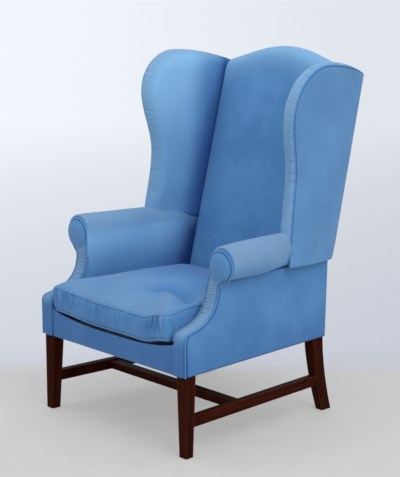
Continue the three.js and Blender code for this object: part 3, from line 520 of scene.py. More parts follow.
def grained_wood(name, dark, light, rubbed, grain, settings):
    """Wood with a grain along one axis, under stain or bare, with its sharp edges rubbed."""
    material, tree, shader, place = new_material(name, settings)
    # Grain: fine pores about 1 mm wide and 60 mm long, drawn at 2 mm so that they show.
    scale = stretched(60 * MM, 2.0 * MM, grain)
    along = add_node(tree, "Mapping", {"Scale": scale}, {"Vector": place})
    pores = add_node(tree, "TexNoise", {"Scale": 1.0, "Detail": 4.0, "Roughness": 0.6}, {"Vector": along})
    # Figure: broad bands about 18 mm wide and 540 mm long.
    wide = add_node(tree, "Mapping", {"Scale": tuple(s / 9 for s in scale)}, {"Vector": place})
    figure = add_node(tree, "TexNoise", {"Scale": 1.0, "Detail": 2.0, "Distortion": 0.6}, {"Vector": wide})
    tone = add_node(tree, "Math", {"operation": "MULTIPLY", 1: 0.6}, {0: figure})
    tone = add_node(tree, "Math", {"operation": "MULTIPLY_ADD", 1: 0.5}, {0: pores, 2: tone})
    spread = add_node(tree, "MapRange", {"From Min": 0.35, "From Max": 0.75}, {"Value": tone})
    stain = add_node(tree, "Mix", {"data_type": "RGBA", 6: dark, 7: light}, {0: spread})
    # Rubbed edges: the stain has gone from the sharp edges in places some 25 mm long.
    rounded = add_node(tree, "Bevel", {"samples": 6, "Radius": 2.5 * MM})
    flat = add_node(tree, "NewGeometry").outputs["Normal"]
    turned = add_node(tree, "VectorMath", {"operation": "DOT_PRODUCT"}, {0: rounded, 1: flat})
    spots = add_node(tree, "TexNoise", {"Scale": 1 / (25 * MM), "Detail": 3.0}, {"Vector": place})
    sharp = add_node(tree, "MapRange", {"From Min": 0.985, "From Max": 0.9, "To Max": 0.8},
                     {"Value": turned.outputs["Value"]})
    gone = add_node(tree, "MapRange", {"From Min": 0.42, "From Max": 0.6}, {"Value": spots})
    share = add_node(tree, "Math", {"operation": "MULTIPLY"}, {0: sharp, 1: gone})
    colour = add_node(tree, "Mix", {"data_type": "RGBA", 7: rubbed}, {0: share, 6: stain.outputs[2]})
    tree.links.new(colour.outputs[2], shader.inputs["Base Color"])
    bump = add_node(tree, "Bump", {"Strength": 0.15, "Distance": 0.2 * MM}, {"Height": pores})
    tree.links.new(bump.outputs[0], shader.inputs["Normal"])
    return material


def stained_mahogany(name, colours, grain):
    """Mahogany under dark red stain and a satin lacquer: deep colour, soft highlights."""
    return grained_wood(name, tuple(colours.mahogany_dark), tuple(colours.mahogany), linear("7a4a30"), grain,
                        {"Roughness": 0.45, "IOR": 1.5, "Specular IOR Level": 0.02})


def crossed_threads(name, dark, light, pitch, settings):
    """A coarse plain weave of crossing threads, for webbing, deck cloth and dust cover."""
    material, tree, shader, place = new_material(name, settings)
    ribs = [add_node(tree, "TexWave",
                     {"bands_direction": axis, "Scale": 1 / (20 * pitch), "Distortion": 0.4},
                     {"Vector": place}) for axis in ("X", "Y")]
    crossing = add_node(tree, "Math", {"operation": "MULTIPLY"},
                        {0: ribs[0].outputs["Fac"], 1: ribs[1].outputs["Fac"]})
    # Fuzz: loose fibres in tufts about 12 mm wide.
    fuzz = add_node(tree, "TexNoise", {"Scale": 1 / (12 * MM), "Detail": 4.0}, {"Vector": place})
    tone = add_node(tree, "Math", {"operation": "MULTIPLY", 1: 0.4}, {0: crossing})
    tone = add_node(tree, "Math", {"operation": "MULTIPLY_ADD", 1: 0.6, "use_clamp": True},
                    {0: fuzz, 2: tone})
    colour = add_node(tree, "Mix", {"data_type": "RGBA", 6: linear(dark), 7: linear(light)}, {0: tone})
    tree.links.new(colour.outputs[2], shader.inputs["Base Color"])
    bump = add_node(tree, "Bump", {"Strength": 0.3, "Distance": 0.5 * MM}, {"Height": crossing})
    tree.links.new(bump.outputs[0], shader.inputs["Normal"])
    return material


def drawn_wire(name):
    """Drawn and oiled spring wire: dark, half bright, with marks of handling about 8 mm wide."""
    material, tree, shader, place = new_material(name, {"Metallic": 1.0, "Roughness": 0.38})
    marks = add_node(tree, "TexNoise", {"Scale": 1 / (8 * MM), "Detail": 3.0}, {"Vector": place})
    colour = add_node(tree, "Mix", {"data_type": "RGBA", 6: linear("5d6166"), 7: linear("8f9499")},
                      {0: marks})
    tree.links.new(colour.outputs[2], shader.inputs["Base Color"])
    return material


FINISHES = {
    "upright_cloth": lambda colours: woven_cloth("Cornflower_woven_cloth_upright", colours, UP),
    "seat_cloth": lambda colours: woven_cloth("Cornflower_woven_cloth_seat", colours, BACKWARD),
    "mahogany_upright": lambda colours: stained_mahogany("Stained_mahogany_upright", colours, UP),
    "mahogany_lengthwise": lambda colours: stained_mahogany("Stained_mahogany_lengthwise", colours, BACKWARD),
    "mahogany_crosswise": lambda colours: stained_mahogany("Stained_mahogany_crosswise", colours, ACROSS),
    # Planed beech, left bare inside the upholstery: pale and dry.
    "beech": lambda colours: grained_wood(
        "Planed_beech", linear("b08a5c"), linear("d0b084"), linear("d8bc92"), UP,
        {"Roughness": 0.65, "IOR": 1.5}),
    # Jute webbing: coarse dry yarns about 2 mm apart.
    "jute": lambda colours: crossed_threads(
        "Woven_jute_webbing", "8a7048", "b59c70", 2 * MM, {"Roughness": 0.92, "IOR": 1.45}),
    # Needled deck cloth, matt with a felted surface, in a dark blue-grey that is partly painted shade, for
    # the blue shade in the gap under the cushion.
    "deck_cloth": lambda colours: crossed_threads(
        "Needled_deck_cloth", "474f60", "5e6779", 3 * MM,
        {"Roughness": 0.95, "IOR": 1.45, "Sheen Weight": 0.2}),
    # Black cambric: thin, close and almost lightless.
    "cambric": lambda colours: crossed_threads(
        "Woven_black_cambric", "141416", "26262a", 1.5 * MM, {"Roughness": 0.9, "IOR": 1.45}),
    # Polyester wadding in a white cambric bag.
    "filling": lambda colours: crossed_threads(
        "White_filling_bag", "d9d4c8", "efeae0", 2 * MM, {"Roughness": 0.95, "IOR": 1.45}),
    "spring_steel": lambda colours: drawn_wire("Drawn_spring_wire"),
}
MATERIALS = {}


def material(name):
    """The finish of that name, made once from the panel's colours."""
    if name not in MATERIALS:
        MATERIALS[name] = FINISHES[name](bpy.context.scene.armchair_colours)
    return MATERIALS[name]


# Sizes and colours a user would change
class ArmchairSizes(bpy.types.PropertyGroup):
    piping: bpy.props.FloatProperty(
        name="Piping", description="Diameter of the covered cord along the seams",
        default=4.2 * MM, min=2 * MM, max=9 * MM, unit="LENGTH", subtype="DISTANCE")
    wing_nose: bpy.props.FloatProperty(
        name="Wing nose", description="How far the stuffed front edge of a wing rounds back",
        default=30 * MM, min=5 * MM, max=40 * MM, unit="LENGTH", subtype="DISTANCE")
    wing_swell: bpy.props.FloatProperty(
        name="Wing swell", description="How far the stuffing of a wing swells inwards",
        default=9 * MM, min=0, max=20 * MM, unit="LENGTH", subtype="DISTANCE")
    back_crown: bpy.props.FloatProperty(
        name="Back crown", description="How far the middle of the inside back stands proud",
        default=8 * MM, min=0, max=25 * MM, unit="LENGTH", subtype="DISTANCE")
    gathers: bpy.props.FloatProperty(
        name="Gathers", description="Depth of the small folds where cloth turns round an edge",
        default=2.2 * MM, min=0, max=4 * MM, unit="LENGTH", subtype="DISTANCE")
    puckers: bpy.props.FloatProperty(
        name="Puckers", description="Depth of the puckers beside the cushion's seams",
        default=2.2 * MM, min=0, max=5 * MM, unit="LENGTH", subtype="DISTANCE")
    cushion_crown: bpy.props.FloatProperty(
        name="Cushion crown", description="Rise of the seat cushion above its upper seam",
        default=56 * MM, min=10 * MM, max=70 * MM, unit="LENGTH", subtype="DISTANCE")
    corner_lift: bpy.props.FloatProperty(
        name="Corner lift", description="How far the front corner of the cushion has risen in use",
        default=21 * MM, min=0, max=30 * MM, unit="LENGTH", subtype="DISTANCE")
    wood_edge: bpy.props.FloatProperty(
        name="Wood edge", description="Radius that the edges of the show wood are eased to",
        default=1.6 * MM, min=0.3 * MM, max=4 * MM, unit="LENGTH", subtype="DISTANCE")


class ArmchairColours(bpy.types.PropertyGroup):
    cloth: bpy.props.FloatVectorProperty(
        name="Cloth", description="Main colour of the upholstery cloth",
        default=linear("4b7fb3"), min=0, max=1, size=4, subtype="COLOR")
    cloth_light: bpy.props.FloatVectorProperty(
        name="Cloth, lighter", description="Colour of the lighter patches of the cloth",
        default=linear("578cbf"), min=0, max=1, size=4, subtype="COLOR")
    cloth_worn: bpy.props.FloatVectorProperty(
        name="Cloth, worn", description="Colour of the cloth where use has faded it",
        default=linear("7192b3"), min=0, max=1, size=4, subtype="COLOR")
    # Bleaching and painted highlight: the pale blue of cloth faded by light, also painted where the light
    # falls
    cloth_bleached_and_lit: bpy.props.FloatVectorProperty(
        name="Cloth, bleached", description="Colour of the cloth where the light has bleached it",
        default=linear("84b6dd"), min=0, max=1, size=4, subtype="COLOR")
    # Painted shade: the deep blue that stands for the shade in creases, beside seams and low down
    cloth_painted_shade: bpy.props.FloatVectorProperty(
        name="Cloth, in painted shade", description="Colour of the unfaded cloth in creases and beside seams",
        default=linear("1d4688"), min=0, max=1, size=4, subtype="COLOR")
    mahogany_dark: bpy.props.FloatVectorProperty(
        name="Mahogany, dark", description="Colour of the dark grain of the stained legs",
        default=linear("150402"), min=0, max=1, size=4, subtype="COLOR")
    mahogany: bpy.props.FloatVectorProperty(
        name="Mahogany", description="Main colour of the stained legs",
        default=linear("43170a"), min=0, max=1, size=4, subtype="COLOR")
    floor: bpy.props.FloatVectorProperty(
        name="Floor", description="Colour of the studio floor and backdrop",
        default=linear("cbcac8"), min=0, max=1, size=4, subtype="COLOR")


# Wings
# How deep the stuffed nose reaches on to the outer face: where it is full, and where it thins out
PANEL_INSET = 9 * MM
THIN_INSET = 1.2 * MM
# The gap behind a flat panel of cloth, and how wide and how deep its edge turns in
SKIN_GAP = 0.6 * MM
PANEL_TURN = 6 * MM
PANEL_DROP = 4.2 * MM
# Heights over which the stuffed edge fills out, and depths over which it thins out again
EDGE_FILLING = (548 * MM, 598 * MM)
EDGE_THINNING = (640 * MM, 770 * MM)
# The line on the shoulder of the arm that the inside wing stands on: depths and heights
SHOULDER_DEPTHS = np.array([418, 455, 580]) * MM
SHOULDER_HEIGHTS = np.array([600, 598, 574]) * MM


def wing_outline(step):
    """Front and top edge of a wing in side view (depth, height), from its foot to its rear corner."""
    heights = np.arange(SEAM_HEIGHT + SEAM_GAP, WING_EAR_HEIGHT, 4 * MM)
    front = np.column_stack([wing_front(heights), heights])
    turn = np.linspace(0, np.pi / 2, 40)
    crown = WING_EAR + WING_EAR_DEPTH
    ear = np.column_stack([
        crown - WING_EAR_DEPTH * np.cos(turn),
        WING_EAR_HEIGHT + (WING_TOP - WING_EAR_HEIGHT) * np.sin(turn),
    ])
    rear = outside_back(WING_REAR_HEIGHT) - COVER
    share = np.linspace(0, 1, 30)[1:]
    top = np.column_stack([
        lerp(crown, rear, share),
        WING_TOP - (WING_TOP - WING_REAR_HEIGHT) * share ** 2,
    ])
    return resample(np.vstack([front, ear, top]), step)


def edge_fullness(depth, height):
    """How full the stuffed edge of a wing is: whole along its front, thin at its foot and rear corner."""
    corner_thinness = 0.75
    return ramp(height, *EDGE_FILLING) * (1 - corner_thinness * ramp(depth, *EDGE_THINNING))


def wing_grid(outline, columns, rear_margin, crowding):
    """Places (depth, height) on a wing: rows run from its front and top edge to its rear edge."""
    rear_heights = lerp(SEAM_REAR + SEAM_GAP, outline[-1][1], np.linspace(0, 1, len(outline)))
    rear = np.column_stack([outside_back(rear_heights) - rear_margin, rear_heights])
    shares = (np.arange(columns + 1) / columns) ** crowding
    return outline[:, None, :] + (rear - outline)[:, None, :] * shares[None, :, None]


def corner_lift(depth, height):
    """How far the lower rear corner of a wing is rounded off above the seam."""
    share = np.clip(1 + (depth - outside_back(height)) / UPPER_PROUD, 0, 0.98)
    fading = np.clip(1 - (height - SEAM_REAR) / (60 * MM), 0, 1)
    return UPPER_PROUD * (1 - np.sqrt(1 - share * share)) * fading


def nose(distance, reach):
    """How much of a rounding is left at a distance behind an edge: 1 at the edge, 0 past its reach."""
    t = np.clip(1 - distance / reach, 0, 1)
    return 1 - np.sqrt(1 - t * t)


def seam_shade(distance, reach, depth):
    """Painted shade beside a seam, as a value below zero."""
    return -depth * nearness(distance, reach)


def crease(t, shoulder=0.45, spread=1.1):
    """Section of one small fold, a narrow crease between swollen sides; t is 1 at its width."""
    return np.exp(-t * t) - shoulder * nearness(np.abs(t) - 2.2, spread)


def folds(length, places, widths, depths):
    """Depth of a row of small folds along an edge."""
    out = np.zeros_like(length)
    for place, width, depth in zip(places, widths, depths):
        out += depth * crease((length - place) / width)
    return out


def nose_folds(outline, sizes, seed):
    """Depth of the small folds where the cloth is drawn round the ear, along a wing's edge."""
    random = np.random.default_rng(seed)
    lengths = np.concatenate([[0], np.cumsum(np.linalg.norm(np.diff(outline, axis=0), axis=1))])
    count = 84
    places = np.sort(random.uniform(0.22, 0.8, count)) * lengths[-1]
    return folds(lengths, places, random.uniform(1.8, 3.2, count) * MM,
                 random.uniform(0.2, 0.95, count) * sizes.gathers)


def inside_wing_part(sizes, seed):
    """The stuffed side of a wing with its worn rim, its painted shade and its bleaching with painted
    highlight: outer edge, nose and inner face.
    """
    outline = wing_outline(step=2 * MM)
    grid = wing_grid(outline, columns=52, rear_margin=4 * MM, crowding=1.5)
    shape = grid.shape[:2]
    depth, height = grid[..., 0].ravel(), grid[..., 1].ravel()
    distance = distance_to(grid.reshape(-1, 2), outline)
    full = edge_fullness(depth, height)
    thickness = wing_outer(depth, height) - wing_inner(depth, height)
    relief = np.repeat(nose_folds(outline, sizes, seed), shape[1])
    near_edge = nearness(distance, 9 * MM)
    # Shares of the thickness that the nose rounds off outside and inside
    outer_rounding, inner_rounding = 0.28, 0.68
    lift_reach, lump_size, lump_height = 150 * MM, 90 * MM, 1 * MM
    # The panel outside lies in a rebate, so that the stuffed nose in front of it is flush with it
    inset = lerp(THIN_INSET, PANEL_INSET, full)
    outer = wing_outer(depth, height) - COVER * ramp(distance, inset, inset + 2 * MM)
    outer -= outer_rounding * thickness * full * nose(distance, reach=15 * MM)
    outer -= near_edge * relief * 0.6
    # The foot of the inner face stands on the shoulder of the arm and runs into the roll at the front
    foot = np.interp(depth, SHOULDER_DEPTHS, SHOULDER_HEIGHTS) - SEAM_HEIGHT
    lifted = height + foot * np.clip(1 - (height - SEAM_HEIGHT) / lift_reach, 0, 1)
    reach = np.clip((depth - wing_front(lifted)) / (inside_back(lifted) - wing_front(lifted)), 0, 1.2)
    body = ramp(lifted, 590 * MM, 680 * MM) * ramp(lifted, WING_TOP, WING_TOP - 60 * MM)
    swell = sizes.wing_swell * np.sin(np.pi * np.clip(reach, 0, 1) ** 0.8) * body
    # The cloth tucks in beside the inside back and closes against its side
    tucked, closed = 4 * MM, 6 * MM
    behind = depth - inside_back(lifted)
    tuck = tucked * ramp(reach, 0.6, 1) - closed * ramp(behind, 3 * MM, 18 * MM)
    held = 0.35 + 0.65 * edge_fullness(depth, lifted)
    rounding = inner_rounding * thickness * held * nose(distance, sizes.wing_nose)
    inner = wing_inner(depth, lifted) - swell + tuck + rounding + near_edge * relief
    # The stuffing is a little lumpy away from the edge
    lumps = crumple(np.column_stack([depth, lifted, inner]), lump_size, seed)
    inner -= lump_height * lumps * np.clip(distance / (30 * MM), 0, 1)
    outer_points = np.column_stack([outer, depth, height + corner_lift(depth, height)]).reshape(*shape, 3)
    inner_points = np.column_stack([inner, depth, lifted]).reshape(*shape, 3)
    # Hands and heads have worn the rim grey; bleaching by the light and painted highlight lighten the inner
    # face, most at the ear, and a little of the outer edge
    ear = ramp(height, 820 * MM, 1010 * MM)
    edge = full * nearness(distance, 16 * MM)
    rim = (0.34 + 0.14 * ear) * edge
    bleached_and_lit = (0.58 + 0.42 * ear) * ramp(reach, 0.9, 0.45) * (1 - 0.55 * edge)
    # Painted shade: the inner face darkens towards the inside back, over more of its width lower down
    start = lerp(0.36, 0.86, ramp(lifted, 740 * MM, 1010 * MM))
    shade = -0.85 * np.clip((reach - start) / (1.02 - start), 0, 1) ** 1.6
    # Painted shade in the creases of the small folds and beside the seam on the outer side
    creases = -0.7 * np.clip(relief / sizes.gathers, 0, 1) * near_edge
    outside = rim + creases + seam_shade(distance - inset, reach=1.8 * MM, depth=1.1)
    wear_and_shade = np.concatenate([outside, rim + shade + 0.25 * creases])
    return slab(outer_points, inner_points), wear_and_shade, np.concatenate([0.3 * edge, bleached_and_lit])


def offset_outline(outline, proud):
    """The line on a wing's outer face that the stuffed nose leaves to the panel, in side view."""
    along = np.gradient(outline, axis=0)
    along /= np.linalg.norm(along, axis=1)[:, None]
    inward = np.column_stack([along[:, 1], -along[:, 0]])
    inset = lerp(THIN_INSET, PANEL_INSET, edge_fullness(outline[:, 0], outline[:, 1])) + proud
    moved = outline + inward * inset[:, None]
    moved[:, 1] = np.maximum(moved[:, 1], SEAM_HEIGHT + SEAM_GAP)
    return moved


def outside_wing_part():
    """The flat panel of a wing with a slight worn tone and painted shade beside its seam, thinner where the
    edge that it meets is thin.
    """
    outline = offset_outline(wing_outline(step=5 * MM), proud=1.4 * MM)
    grid = wing_grid(outline, columns=34, rear_margin=1 * MM, crowding=1.4)
    shape = grid.shape[:2]
    depth, height = grid[..., 0].ravel(), grid[..., 1].ravel()
    distance = distance_to(grid.reshape(-1, 2), outline)
    skin = wing_outer(depth, height)
    full = edge_fullness(depth, height)
    outer = skin - PANEL_DROP * nose(distance, PANEL_TURN) * (0.25 + 0.75 * full)
    height = height + corner_lift(depth, height)
    outer_points = np.column_stack([outer, depth, height]).reshape(*shape, 3)
    inner_points = np.column_stack([skin - COVER + SKIN_GAP, depth, height]).reshape(*shape, 3)
    # Painted shade beside the seam, fading where the edge is thin, over a slight worn tone
    shade = seam_shade(distance, reach=1.9 * MM, depth=1.2) * edge_fullness(depth, height) ** 0.5 + 0.1
    return slab(outer_points, inner_points), np.concatenate([shade, shade])


def outside_wing_piping():
    """Path of the piping between a wing's nose and its panel, which sinks away at the roll of the arm."""
    start, full_height, sunk, deeper = 540 * MM, 566 * MM, 2.2 * MM, 4 * MM
    outline = offset_outline(wing_outline(step=5 * MM), proud=-0.6 * MM)
    outline = outline[outline[:, 1] > start]
    drop = sunk + deeper * ramp(outline[:, 1], full_height, start)
    return np.column_stack([wing_outer(outline[:, 0], outline[:, 1]) - drop, outline])


# Back
# The inside back runs down past the deck; its side edges are rounded
BACK_FOOT = DECK_TOP - 11 * MM
BACK_STUFFING = 28 * MM
BACK_ROUNDING = 16 * MM


def inside_back_part(sizes):
    """The inside back: crowned in front, rolled over the camel crest and tacked behind it."""
    inner_half = BACK_HALF - BACK_ROUNDING
    side_drop, roll_drop = 15 * MM, 7 * MM
    columns = np.concatenate([np.linspace(-BACK_HALF, -inner_half, 10)[:-1],
                              np.linspace(-inner_half, inner_half, 84),
                              np.linspace(inner_half, BACK_HALF, 10)[1:]])
    rings = []
    for x in columns:
        edge = max(abs(x) - inner_half, 0) / BACK_ROUNDING
        rounded = 1 - math.sqrt(max(1 - edge * edge, 0))
        shoulder = float(crest(x)) - CREST_ROLL
        near, far = inside_back(shoulder), outside_back(shoulder)
        heights = np.linspace(BACK_FOOT, shoulder, 110)
        crown = sizes.back_crown * (1 - (x / BACK_HALF) ** 4) * ramp(heights, 430 * MM, 630 * MM)
        crown -= side_drop * rounded
        front = np.column_stack([inside_back(heights) - crown, heights])
        turns = np.linspace(0, np.pi, 22)[1:]
        rise = CREST_ROLL * np.sin(turns) * (1 - 0.35 * rounded)
        reach = (far - near) / 2 - roll_drop * rounded
        lean = (far + near) / 2 - reach * np.cos(turns) - crown[-1] * (1 + np.cos(turns)) / 2
        arch = np.column_stack([lean + rise * OUTSIDE_SLOPE, shoulder + rise])
        under = shoulder - CREST_DROP
        back = [[outside_back(under), under], [inside_back(under) + BACK_STUFFING, under],
                [inside_back(DECK_TOP) + BACK_STUFFING, BACK_FOOT]]
        ring = np.vstack([front, arch, back])
        rings.append(np.column_stack([np.full(len(ring), x), ring]))
    return loft(rings)


def outside_back_part():
    """The plain panel behind: upright over the base, proud above the seam and raked up to the crest."""
    edge_turn, edge_drop = 5 * MM, 3 * MM
    thickness = COVER - 0.5 * MM
    rings = []
    for x in np.linspace(-PANEL_HALF, PANEL_HALF, 60):
        edge = max(abs(x) - (PANEL_HALF - edge_turn), 0) / edge_turn
        rounded = edge_drop * (1 - math.sqrt(max(1 - edge * edge, 0)))
        top = float(crest(x)) - CREST_ROLL - CREST_DROP - SEAM_GAP
        lower = np.linspace(BASE_BOTTOM, SEAM_REAR, 24)
        upper = np.linspace(SEAM_REAR + UPPER_PROUD, top, 50)
        step = np.array([[0.55, 0.12], [0.95, 0.5]]) * UPPER_PROUD
        outer = np.vstack([
            np.column_stack([lower_back(lower), lower]),
            step + np.array([lower_back(SEAM_REAR), SEAM_REAR]),
            np.column_stack([outside_back(upper), upper]),
        ])
        outer[:, 0] -= rounded
        inner = outer[::-1] - np.array([thickness - rounded, 0])
        ring = np.vstack([outer, inner])
        rings.append(np.column_stack([np.full(len(ring), x), ring]))
    return loft(rings)


# Arms
# The facing stands in front of the arm post; the roll turns in to it over a lip
FACE_PLACE = ARM_SETBACK - 3 * MM
LIP = 16 * MM
SCROLL_RADIUS = 46.5 * MM
SCROLL_DROP = 9 * MM
SCROLL_HEIGHT = ROLL_HEIGHT - SCROLL_DROP
# Where the roll dies into the wing: the radius and the height of what is left of it
TAIL_RADIUS = 26 * MM
TAIL_HEIGHT = 555 * MM
TAIL_LENGTH = 150 * MM
# Depths over which the roll draws in, from under the scroll's overhang to under the wing
ROLL_TAPER = (298 * MM, 416 * MM)
TAPERED_REACH = 22 * MM
CLOSED_REACH = 2 * MM
LEAN_FOOT = LEAN_HEIGHT - 20 * MM
ARM_FOOT = DECK_TOP - 17 * MM
STEM_INSET = COVER + 0.4 * MM
ARM_REAR = 553 * MM
# Side, sign, seed, how far the scroll sits outwards and how far the roll has settled at its rear
ARM_WAYS = (("left", -1, 11, -13 * MM, 9 * MM), ("right", 1, 12, 2 * MM, 0))


def outside_arm_part():
    """Panel from the front corner, under the knee and the roll, to the rear corner, with painted shade beside
    its seams and towards its foot.
    """
    surface = facing_surface()
    surface = surface[surface[:, 1] <= SEAM_HEIGHT]
    fronts, heights = surface[:, 0] + 3.5 * MM, surface[:, 1]
    columns = 72
    shares = np.arange(columns + 1) / columns
    shares = 0.5 * (shares ** 1.5) + 0.5 * (1 - (1 - shares) ** 1.5)
    rear = lower_back(heights)
    depth = fronts[:, None] + (rear - fronts)[:, None] * shares[None, :]
    height = np.repeat(heights[:, None], columns + 1, axis=1)
    border = np.vstack([
        np.column_stack([rear[::-1], heights[::-1]]),
        np.column_stack([fronts, heights]),
        [[fronts[-1], heights[-1]], [rear[-1], heights[-1]]],
    ])
    flat = np.column_stack([depth.ravel(), height.ravel()])
    distance = distance_to(flat, border).reshape(depth.shape)
    skin = side_half(depth)
    outer = skin - PANEL_DROP * nose(distance, PANEL_TURN)
    # The seam under the wing falls a little towards the rear
    fall = (SEAM_HEIGHT - SEAM_REAR) * np.clip((depth - WING_FOOT) / (BASE_DEPTH - WING_FOOT), 0, 1)
    height = height - fall * (height - BASE_BOTTOM) / (SEAM_HEIGHT - BASE_BOTTOM)
    outer_points = np.stack([outer, depth, height], axis=-1)
    inner_points = np.stack([skin - COVER + SKIN_GAP, depth, height], axis=-1)
    # Painted shade: darker towards the foot of the panel and beside its seams
    low = 0.1 + 0.22 * ramp(height, BASE_BOTTOM + 150 * MM, BASE_BOTTOM)
    shade = (seam_shade(distance, reach=3.6 * MM, depth=0.95) - low).ravel()
    return slab(outer_points, inner_points), np.concatenate([shade, shade])


def quarter(start, middle, across, height, rise):
    """A quarter of an ellipse of cloth, from a quarter turn on, as inset and height."""
    turns = np.linspace(start * np.pi / 2, (start + 1) * np.pi / 2, 60)[1:]
    return np.column_stack([middle + across * np.cos(turns), height + rise * np.sin(turns)])


def arm_section(depth, shift, sag):
    """Section of the inside arm and its roll at a depth, as inset and height."""
    fuller_top, fuller_under, fuller_reach, lean_swell = 2.5 * MM, 5 * MM, 3 * MM, 3 * MM
    lip = math.sqrt(max(1 - (1 - min(max((depth - FACE_PLACE) / LIP, 0), 1)) ** 2, 0))
    taper = float(ramp(depth, *ROLL_TAPER))
    behind = min(max((depth - WING_FOOT) / TAIL_LENGTH, 0), 1)
    swell = math.sin(math.pi * min(max((depth - ARM_SETBACK) / (WING_FOOT - ARM_SETBACK), 0), 1))
    radius = lerp(lerp(SCROLL_RADIUS, ROLL_RADIUS + fuller_top * swell, lip), TAIL_RADIUS, behind)
    under = lerp(lerp(SCROLL_RADIUS, ROLL_RADIUS + fuller_under * swell, lip), TAIL_RADIUS, behind)
    reach = lerp(lerp(SCROLL_RADIUS, ROLL_RADIUS + fuller_reach * swell, lip), TAPERED_REACH, taper)
    reach = lerp(reach, CLOSED_REACH, float(ramp(depth, WING_FOOT + 12 * MM, WING_FOOT + 38 * MM)))
    # Where the scroll sits further in or out, the roll stays full enough to cover the post
    cover = float(ramp(depth, 145 * MM, 151 * MM)) * (1 - taper)
    reach += max(-shift, 0) * cover
    near = radius + 2.5 * max(shift, 0) * cover
    middle = lerp(-ROLL_OVERHANG - shift * (1 - taper), ARM_WIDTH - TAIL_RADIUS, behind)
    height = lerp(lerp(SCROLL_HEIGHT, ROLL_HEIGHT, lip), TAIL_HEIGHT, behind)
    inner_face = ARM_WIDTH - 3 * MM * (1 - lip)
    lean = np.linspace(0, 1, 14)[:, None]
    rise = lerp(np.array([[inner_face, LEAN_FOOT]]), np.array([[middle + near, height]]), lean)
    rise[:, 0] += lean_swell * np.sin(np.pi * lean[:, 0]) * (1 - behind)
    top = quarter(0, middle, near, height, radius)
    shoulder = quarter(1, middle, reach, height, radius)
    belly = quarter(2, middle, reach, height, under)
    foot = height - under
    throat = np.array([[STEM_INSET, foot + 1 * MM]])
    stem = np.column_stack([np.full(12, STEM_INSET), np.linspace(foot - 6 * MM, ARM_FOOT, 12)])
    face = np.column_stack([np.full(24, inner_face), np.linspace(ARM_FOOT, LEAN_FOOT, 25)[:-1]])
    section = np.vstack([face, rise, top, shoulder, belly, throat, stem])
    # The top of the roll settles towards the wing, most along its outer side
    drop = sag * float(ramp(depth, FACE_PLACE, FACE_PLACE + 200 * MM)) * (1 - behind)
    upper, outer = ramp(section[:, 1], 540 * MM, 600 * MM), ramp(section[:, 0], 30 * MM, -15 * MM)
    section[:, 1] -= drop * upper * outer
    return section


def arm_wear_and_shade(inset, z, depth, lean):
    """How worn the inside arm is round one of its sections, with its painted shade and its bleaching with
    painted highlight.
    """
    outward = ramp(inset, 48 * MM, -2 * MM)
    high = ramp(z, 505 * MM, 585 * MM)
    # Hands and sleeves have worn the roll grey, most at its front
    roll = (0.42 + 0.1 * nearness(depth - ARM_SETBACK, 90 * MM)) * high
    front = 0.3 * math.exp(-(depth - FACE_PLACE) / (50 * MM))
    faded = np.maximum(lerp(0.4 * high ** 2, roll, outward), front)
    # Painted shade: the cloth darkens towards the inside back, down beside the cushion and beside the seams
    # at the front and the rear
    gap = inside_back(z) - depth - lean
    corner = -0.9 * np.clip(1 - gap / (125 * MM), 0, 1) ** 1.6 * (1 - 0.55 * ramp(z, 500 * MM, 590 * MM))
    beside = -0.3 * ramp(z, 465 * MM, 415 * MM)
    front_seam = seam_shade(depth - FACE_PLACE - 3.2 * MM, reach=2.2 * MM, depth=1.2)
    rear_seam = seam_shade(max(ARM_REAR - 5 * MM - depth, 0), reach=14 * MM, depth=0.6)
    wear_and_shade = faded + front_seam + rear_seam + (corner + beside) * (1 - outward)
    # Bleaching and painted highlight on the inner face, less where the painted shade is deep
    inner_face = 0.2 + 0.7 * ramp(z, 425 * MM, 545 * MM) - 0.65 * ramp(z, 545 * MM, 590 * MM)
    return wear_and_shade, inner_face * (1 - 0.9 * outward) * (1 + np.maximum(corner, -0.9) / 0.9)


